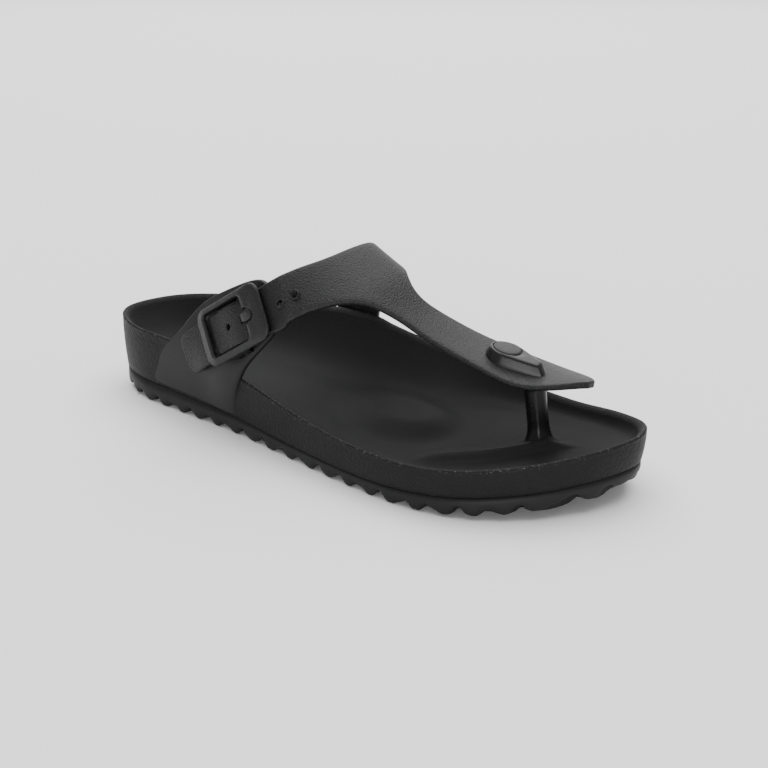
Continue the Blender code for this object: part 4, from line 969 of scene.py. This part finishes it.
def strap_surface():
    """The strap's places on the foot's surface and the quads between them: a band with a stem ahead of it."""
    rows = strap_rows()
    places = [place for row in rows for place in row]
    grid = [[i * len(rows[0]) + j for j in range(len(rows[0]))] for i in range(len(rows))]
    quads = grid_quads(grid)
    first = len(rows) - len(BAND_EDGES) + STEM_ROOT[0]
    last = len(rows) - len(BAND_EDGES) + STEM_ROOT[1]
    root = [grid[i][-1] for i in range(first, last + 1)]
    before = root
    for lateral, medial in [*STEM_EDGES, TONGUE_TIP]:
        row = []
        for k in range(len(root)):
            share = k / (len(root) - 1)
            u = lateral[0] + (medial[0] - lateral[0]) * share
            y = lateral[1] + (medial[1] - lateral[1]) * share
            places.append((u * SOLE_LENGTH, stem_turn(u * SOLE_LENGTH, y)))
            row.append(len(places) - 1)
        quads += [(before[k + 1], before[k], row[k], row[k + 1]) for k in range(len(root) - 1)]
        before = row
    return places, quads


def strap_hole(place):
    """Centre and outward direction of the strap hole this many pitches from the axle."""
    s = place * HOLE_PITCH
    x, turn = buckle_place(s, 0) if s < FRAME_FRONT + 2 else beyond_buckle(s)
    return on_last(x, turn, STRAP_ON_WING + STRAP_THICKNESS / 2), Vector(last_normal(x, turn))


def beyond_buckle(s):
    """The place on the line of the holes this far past the axle, above the buckle."""
    start = np.array(buckle_place(FRAME_FRONT + 2, HOLE_DROP))
    rear, front = np.array(BAND_EDGES[0][0]), np.array(BAND_EDGES[0][1])
    middle = (rear * 0.42 + front * 0.58) * (SOLE_LENGTH, 1)
    gap = np.linalg.norm(last_point(*middle) - last_point(*start))
    return start + (middle - start) * (s - FRAME_FRONT - 2) / gap


def tongue_place(place):
    """The (x, turn) of a (share of the length, y) place on the tongue."""
    u, y = place
    return (u * SOLE_LENGTH, stem_turn(u * SOLE_LENGTH, y))


def stem_axis(place, low, high):
    """Two points on the line through the strap at this place, at lifts from the foot's surface."""
    point, out = last_point(*place), last_normal(*place)
    return Vector(point + out * low), Vector(point + out * high)


def hole_ring(index, centre, out, finish):
    """The raised lip round a strap hole."""
    bm = bmesh.new()
    bmesh.ops.create_circle(bm, cap_ends=False, segments=10, radius=HOLE_LIP)
    bm.transform(Matrix.Translation((HOLE_RADIUS + HOLE_LIP, 0, 0)) @ Matrix.Rotation(math.pi / 2, 4, "X"))
    bmesh.ops.spin(bm, geom=bm.edges[:], cent=(0, 0, 0), axis=(0, 0, 1), angle=2 * math.pi, steps=32,
                   use_merge=True)
    bmesh.ops.remove_doubles(bm, verts=bm.verts, dist=0.001)
    turn = Vector(out).to_track_quat("Z", "Y").to_matrix().to_4x4()
    bm.transform(Matrix.Translation(Vector(centre) + Vector(out) * (STRAP_THICKNESS / 2 - 0.16)) @ turn)
    return finished(f"hole_lip_{index}", bm, "strap_foam", finish)


def upper_strap(finish):
    """The T-shaped upper in one sheet of foam, with its holes."""
    places, quads = strap_surface()
    points = [on_last(x, turn, strap_lift(on_last(x, turn, 0))) for x, turn in places]
    sheet = open_sheet(points, quads, last_normal(*places[0]))
    strap = thick_sheet("upper_strap_foam", sheet, finish, STRAP_THICKNESS, "upper_strap")
    spots = [strap_hole(place) for place in HOLES]
    holes = []
    for place, (centre, out) in zip(HOLES, spots):
        # the holes past the buckle stop short; their dark floor stands in for the shade seen through a real
        # hole, as painted shade
        depth = 6 if place == 0 else HOLE_DEPTH
        holes.append(cylinder(Vector(centre) - out * depth, Vector(centre) + out * 6, HOLE_RADIUS, 32))
    sides = (-PRONG_OPENING_HALF, PRONG_OPENING_HALF)
    slot = buckle_box(PRONG_OPENING, sides, (STRAP_ON_WING - 1, FRAME_TOP))
    bmesh.ops.bevel(slot, geom=slot.edges[:], offset=1.2, offset_type="OFFSET", segments=4, profile=0.5,
                    affect="EDGES", material=-1, clamp_overlap=True)
    holes.append(slot)
    groove_top = STRAP_ON_WING + STRAP_HUMP + EXTRA_HUMP
    holes.append(buckle_box(PRONG_GROOVE, sides, (STRAP_ON_WING - 1, groove_top)))
    drill(strap, holes)
    for index, (centre, out) in enumerate(spots):
        hole_ring(index, centre, out, finish)
    return strap


# ---- toe post ------------------------------------------------------------------------------


def post_foot():
    """Where the post stands on the footbed."""
    return Vector((POST_FOOT_PLACE[0] * SOLE_LENGTH, POST_FOOT_PLACE[1], footbed_height(POST_FOOT_PLACE[0])))


def head_axes():
    """The head's place on the tongue: origin under the rivet, towards the post, sideways and outwards."""
    ahead = stem_axis(tongue_place(RIVET_PLACE), 0, 1)
    behind = stem_axis(tongue_place(POST_TOP_PLACE), 0, 1)
    out = ((ahead[1] - ahead[0]) + (behind[1] - behind[0])).normalized()
    along = (behind[0] - ahead[0])
    along = (along - out * along.dot(out)).normalized()
    return ahead[0], along, out.cross(along), out


def toe_post(finish):
    """The post between the toes: a wide soft foot, a waist with a faint rib, and a wider neck."""
    foot = post_foot()
    neck, _ = stem_axis(tongue_place(POST_TOP_PLACE), 0.6, 1)
    tilt = (neck - foot).normalized()
    rings = []
    for k in range(POST_STEPS + 1):
        share = k / POST_STEPS
        centre = foot + Vector((0, 0, -1.5)) + (neck - foot + Vector((0, 0, 1.5))) * share
        flare = 3.0 * max(0.0, 1 - share / 0.36) ** 2.2
        splay = 2.0 * max(0.0, (share - 0.82) / 0.18) ** 2.0
        radius = POST_RADIUS * (1 - 0.08 * math.sin(math.pi * share)) + flare + splay
        axis = Vector((0, 0, 1)).lerp(tilt, min(1.0, share * 3)).normalized()
        side = Vector((0, 1, 0)).cross(axis).normalized()
        other = axis.cross(side)
        ring = []
        for j in range(ROUND_STEPS):
            angle = 2 * math.pi * j / ROUND_STEPS
            rib = 0.45 * math.exp(-((math.degrees(angle) - 300) / 12) ** 2) * (1 - share * 0.4)
            stretch = 1 + 0.1 * max(0.0, 1 - share / 0.3) * abs(math.sin(angle)) ** 2
            reach = radius * stretch + rib
            ring.append(centre + side * math.cos(angle) * reach + other * math.sin(angle) * reach)
        rings.append(ring)
    return finished("post", loft(rings), "post_foam", finish, stands_for=("toe_post",))


def toe_post_head(finish):
    """The teardrop boss: steep sides that lean in, a softened top edge, and a seat for the oval cap."""
    origin, along, side, out = head_axes()
    far, tip = HEAD_LENGTH - HEAD_RADIUS, HEAD_TIP_HALF_WIDTH * 0.72
    plan = [(HEAD_RADIUS * math.cos(a), HEAD_RADIUS * math.sin(a))
            for a in (math.radians(82 + 196 * k / 30) for k in range(31))]
    flank = []
    for k in range(1, 10):
        share = k / 10
        half = HEAD_RADIUS * (1 - share) ** 0.9 + tip * share ** 0.9 - 0.05
        flank.append((1.0 + (far - 2.0) * share, half))
    nose = [(far - 0.4, tip * 0.85), (far, tip * 0.35)]
    plan += [(a, -b) for a, b in flank + nose] + (flank + nose)[::-1]
    rings = []
    top = STRAP_THICKNESS + HEAD_HEIGHT
    for lift, inset in ((STRAP_THICKNESS - 1.2, -0.5), (STRAP_THICKNESS + 0.3, -0.3),
                        (STRAP_THICKNESS + 1.2, 0.0), (top - 1.4, 0.7), (top - 0.7, 0.95), (top - 0.25, 1.3),
                        (top - 0.04, 1.8), (top, 2.5)):
        ring = []
        for a, b in plan:
            scale = 1 - inset / HEAD_RADIUS
            ring.append(origin + out * lift + along * (a * scale) + side * (b * scale))
        rings.append(ring)
    head = finished("post_head", loft(rings), "head_plastic", finish, stands_for=("toe_post_head",))
    groove = cylinder(origin + out * (top - 0.7), origin + out * (top + 4), RIVET_CAP_RADIUS + 0.3, 64)
    drill(head, [groove])
    soften_edges(head, 0.15, 2, 40)
    return head


def toe_post_cap(finish):
    """The cap, a shallow dome that is just proud of its seat."""
    top = STRAP_THICKNESS + HEAD_HEIGHT
    rings = []
    origin, along, side, out = head_axes()
    for lift, radius in ((top - 0.9, 1.0), (top - 0.7, RIVET_CAP_RADIUS - 0.15),
                         (top + 0.05, RIVET_CAP_RADIUS - 0.15), (top + 0.28, RIVET_CAP_RADIUS - 0.45),
                         (top + 0.42, RIVET_CAP_RADIUS - 1.1), (top + 0.55, RIVET_CAP_RADIUS - 2.6),
                         (top + 0.6, RIVET_CAP_RADIUS * 0.2)):
        rings.append([origin + out * lift + along * math.cos(a) * radius + side * math.sin(a) * radius
                      for a in (2 * math.pi * k / ROUND_STEPS for k in range(ROUND_STEPS))])
    return finished("head_cap", loft(rings), "cap_plastic", finish, stands_for=("toe_post_cap",))


# ---- buckle --------------------------------------------------------------------------------


def rounded_rectangle(s_limits, t_half, radius, per_corner, per_side):
    """Points round a rounded rectangle in the buckle's plane, evenly shared between its parts."""
    s0, s1 = s_limits
    corners = [((s1 - radius, t_half - radius), 0), ((s0 + radius, t_half - radius), 90),
               ((s0 + radius, -t_half + radius), 180), ((s1 - radius, -t_half + radius), 270)]
    arcs = []
    for (cs, ct), start in corners:
        arcs.append([(cs + radius * math.cos(a), ct + radius * math.sin(a)) for a in
                     (math.radians(start + 90 * k / per_corner) for k in range(per_corner + 1))])
    points = []
    for arc, following in zip(arcs, arcs[1:] + arcs[:1]):
        points += arc
        (a, b), (c, d) = arc[-1], following[0]
        points += [(a + (c - a) * k / per_side, b + (d - b) * k / per_side) for k in range(1, per_side)]
    return points


def buckle_frame(finish):
    """The moulded frame: flat bars with a raised lip round the window, and deeper rails at the axle."""
    outer = rounded_rectangle((FRAME_REAR, FRAME_FRONT), FRAME_HALF_WIDTH, FRAME_CORNER, 10, 16)
    inner = rounded_rectangle((WINDOW_REAR, WINDOW_FRONT), FRAME_HALF_WIDTH - FRAME_RAIL, WINDOW_CORNER,
                              10, 16)
    rings = []
    for (so, to), (si, ti) in zip(outer, inner):
        on_rail = abs(to) > STRAP_END_WIDTH / 2 and abs(ti) > STRAP_END_WIDTH / 2 - 0.5
        deep = 1 - smoothstep(abs(so), 3.0, RAIL_DEPTH_REACH - 0.5) if on_rail else 0
        base = BAR_LIFT + (AXLE_LIFT - AXLE_RADIUS - 1.3 - BAR_LIFT) * deep
        top, cut = FRAME_TOP, REAR_BAR_RISE if si < WINDOW_REAR + 1 else 0
        section = [(0.03, base + 0.5), (0.0, base + 1.0), (0.0, top - 2.3), (0.02, top - 1.75),
                   (0.08, top - 1.4), (0.2, top - 1.05), (0.45, top - 0.62), (0.68, top - 0.28),
                   (0.76, top - 0.06), (0.84, top), (0.93, top - 0.08), (0.98, top - 0.4), (1.0, top - 1.0),
                   (1.0, base + cut + 0.6), (0.96, base + cut + 0.15), (0.6, base + cut * 0.8), (0.15, base),
                   (0.07, base + 0.15)]
        rings.append([buckle_point(so + (si - so) * share, to + (ti - to) * share, lift)
                      for share, lift in section])
    rings.append(rings[0])
    bm = loft(rings, capped=False)
    bmesh.ops.remove_doubles(bm, verts=bm.verts, dist=0.001)
    body = finished("buckle_frame_moulding", bm, "frame_plastic", finish, "frame", ("buckle_frame",))
    rest = WINDOW_FRONT + PRONG_HEAD_LENGTH / 2 - 1.8
    recess = cylinder(buckle_point(rest, 0, FRAME_TOP - PRONG_HEAD_HEIGHT - 0.1),
                      buckle_point(rest, 0, FRAME_TOP + 4), PRONG_HEAD_LENGTH / 2 + 0.3, 48)
    bore = cylinder(buckle_point(0, -FRAME_HALF_WIDTH - 2, AXLE_LIFT),
                    buckle_point(0, FRAME_HALF_WIDTH + 2, AXLE_LIFT), AXLE_RADIUS + 0.05, 32)
    drill(body, [recess, bore])
    soften_edges(body, 0.18, 2, 45)
    return body


def buckle_prong(finish):
    """The pin: an eye on the axle, an arm under the strap and a flat round-ended head."""
    r, h = PRONG_WIRE_RADIUS, PRONG_HEAD_WIDTH / 2
    top = FRAME_TOP - PRONG_HEAD_HEIGHT / 2 + 0.3
    reach = WINDOW_FRONT + PRONG_HEAD_LENGTH - 1.6
    # Along the pin: the distance from the axle, the lift, and half the width and height there
    line = [(0.4, AXLE_LIFT, r * 0.9, r * 0.8), (2.5, AXLE_LIFT, r, r * 0.8),
            (7.0, AXLE_LIFT + 0.1, r, r * 0.8), (8.4, AXLE_LIFT + 0.8, r, r * 0.8),
            (9.4, AXLE_LIFT + 2.0, r, r * 0.85), (10.0, top - 2.2, r, r * 0.85),
            (10.4, top - 1.3, r * 1.1, r * 0.9), (10.7, top - 0.5, h * 0.7, 0.85),
            (reach - PRONG_HEAD_LENGTH + 0.6, top - 0.1, h * 0.9, 0.85),
            (reach - PRONG_HEAD_LENGTH + 2.2, top, h, 0.85), (reach - 2.4, top, h, 0.85),
            (reach - 1.3, top, h * 0.92, 0.85), (reach - 0.6, top, h * 0.72, 0.8),
            (reach - 0.15, top, h * 0.42, 0.7), (reach, top, h * 0.15, 0.5)]
    rings = []
    for i, (s, lift, wide, high) in enumerate(line):
        a, b = line[max(i - 1, 0)], line[min(i + 1, len(line) - 1)]
        run, climb = b[0] - a[0], b[1] - a[1]
        size = math.hypot(run, climb)
        flat = smoothstep(s, 9.6, 11.0)
        ring = []
        for k in range(32):
            angle = 2 * math.pi * k / 32
            c, n = math.cos(angle), math.sin(angle)
            power = 1 - 0.45 * flat
            across = math.copysign(abs(c) ** power, c) * wide
            up = math.copysign(abs(n) ** power, n) * high
            ring.append(buckle_point(s - climb / size * up, across, lift + run / size * up))
        rings.append(ring)
    body = finished("prong", loft(rings), "prong_plastic", finish, "prong", ("buckle_prong",))
    eye = cylinder(buckle_point(0, -r, AXLE_LIFT), buckle_point(0, r, AXLE_LIFT), LUG_RADIUS, 40)
    eye = finished("prong_eye", eye, "prong_plastic", finish, "prong")
    bore = cylinder(buckle_point(0, -4, AXLE_LIFT), buckle_point(0, 4, AXLE_LIFT), AXLE_RADIUS + AXLE_PLAY,
                    40)
    drill(eye, [bore])
    soften_edges(eye, 0.2, 2)
    return body


# ---- floor, light and camera ---------------------------------------------------------------


def in_frame(x, y, z):
    """A point in sandal millimetres as a place in the frame."""
    return (Vector((x, y, z)) + Vector(SANDAL_SHIFT)) * MM


def floor():
    """A plain pale floor under the sandal."""
    bm = bmesh.new()
    bmesh.ops.create_grid(bm, x_segments=1, y_segments=1, size=6.0)
    mesh = bpy.data.meshes.new("floor")
    bm.to_mesh(mesh)
    bm.free()
    obj = bpy.data.objects.new("floor", mesh)
    bpy.context.scene.collection.objects.link(obj)
    paper = Finish("paper_floor", (0.93, 0.93, 0.93), 0.9)
    paper.set("Roughness", 0.88 + paper.noise(60.0) * 0.06)
    mesh.materials.append(paper.material)


def light(name, place, aim, size, power):
    """A soft rectangular light that faces a point."""
    data = bpy.data.lights.new(name, "AREA")
    data.shape, data.size, data.size_y, data.energy = "RECTANGLE", size[0], size[1], power
    obj = bpy.data.objects.new(name, data)
    bpy.context.scene.collection.objects.link(obj)
    obj.location = place
    obj.rotation_euler = (Vector(aim) - Vector(place)).to_track_quat("-Z", "Y").to_euler()


def camera():
    """The camera, turned about the target by the view's angles."""
    azimuth, elevation = math.radians(VIEW_AZIMUTH), math.radians(VIEW_ELEVATION)
    direction = Vector((math.sin(azimuth) * math.cos(elevation), -math.cos(azimuth) * math.cos(elevation),
                        math.sin(elevation)))
    data = bpy.data.cameras.new("camera")
    data.lens, data.sensor_width = LENS, 36.0
    data.shift_x, data.shift_y = SHIFT
    data.clip_start = 0.01
    obj = bpy.data.objects.new("camera", data)
    bpy.context.scene.collection.objects.link(obj)
    obj.location = in_frame(*VIEW_TARGET) + direction * VIEW_DISTANCE * MM
    obj.rotation_euler = direction.to_track_quat("Z", "Y").to_euler()
    bpy.context.scene.camera = obj


def world(strength):
    """Even white light from all round."""
    made = bpy.data.worlds.new("studio")
    made.use_nodes = True
    made.node_tree.nodes["Background"].inputs["Color"].default_value = (1, 1, 1, 1)
    made.node_tree.nodes["Background"].inputs["Strength"].default_value = strength
    bpy.context.scene.world = made


def carried_over(node, finish):
    """A node whose plain shape is right keeps it and gets a better finish."""
    for place in frame["nodes"][node].material_slots:
        place.material = finish


strap = strap_finish()
grained = strap_finish("frame_plastic", 0.6, 0.4, 1.1)
quarter = smooth_finish("quarter_foam", (0.0050, 0.0050, 0.0052), (0.0090, 0.0091, 0.0094), 0.5)
footbed(footbed_finish())
outsole(smooth_finish("tread_foam", (0.0045, 0.0046, 0.0047), (0.0090, 0.0091, 0.0094), 0.5))
lateral_quarter(quarter)
upper_strap(strap)
toe_post(smooth_finish("post_foam", (0.0040, 0.0040, 0.0042), (0.0070, 0.0071, 0.0075), 0.26))
toe_post_head(smooth_finish("head_plastic", (0.0045, 0.0046, 0.0048), (0.0085, 0.0086, 0.0090), 0.24,
                            shine=0.34))
toe_post_cap(strap_finish("cap_plastic", 0.5, 0.36))
buckle_frame(grained)
buckle_prong(strap_finish("prong_plastic", 0.4, 0.36, 1.1))
carried_over("buckle_axle", steel_finish())
carried_over("toe_post_anchor", smooth_finish("anchor_plastic", (0.01, 0.01, 0.01), (0.02, 0.02, 0.02), 0.5))

floor()
world(WORLD_STRENGTH)
for settings in LIGHTS:
    light(*settings)
camera()
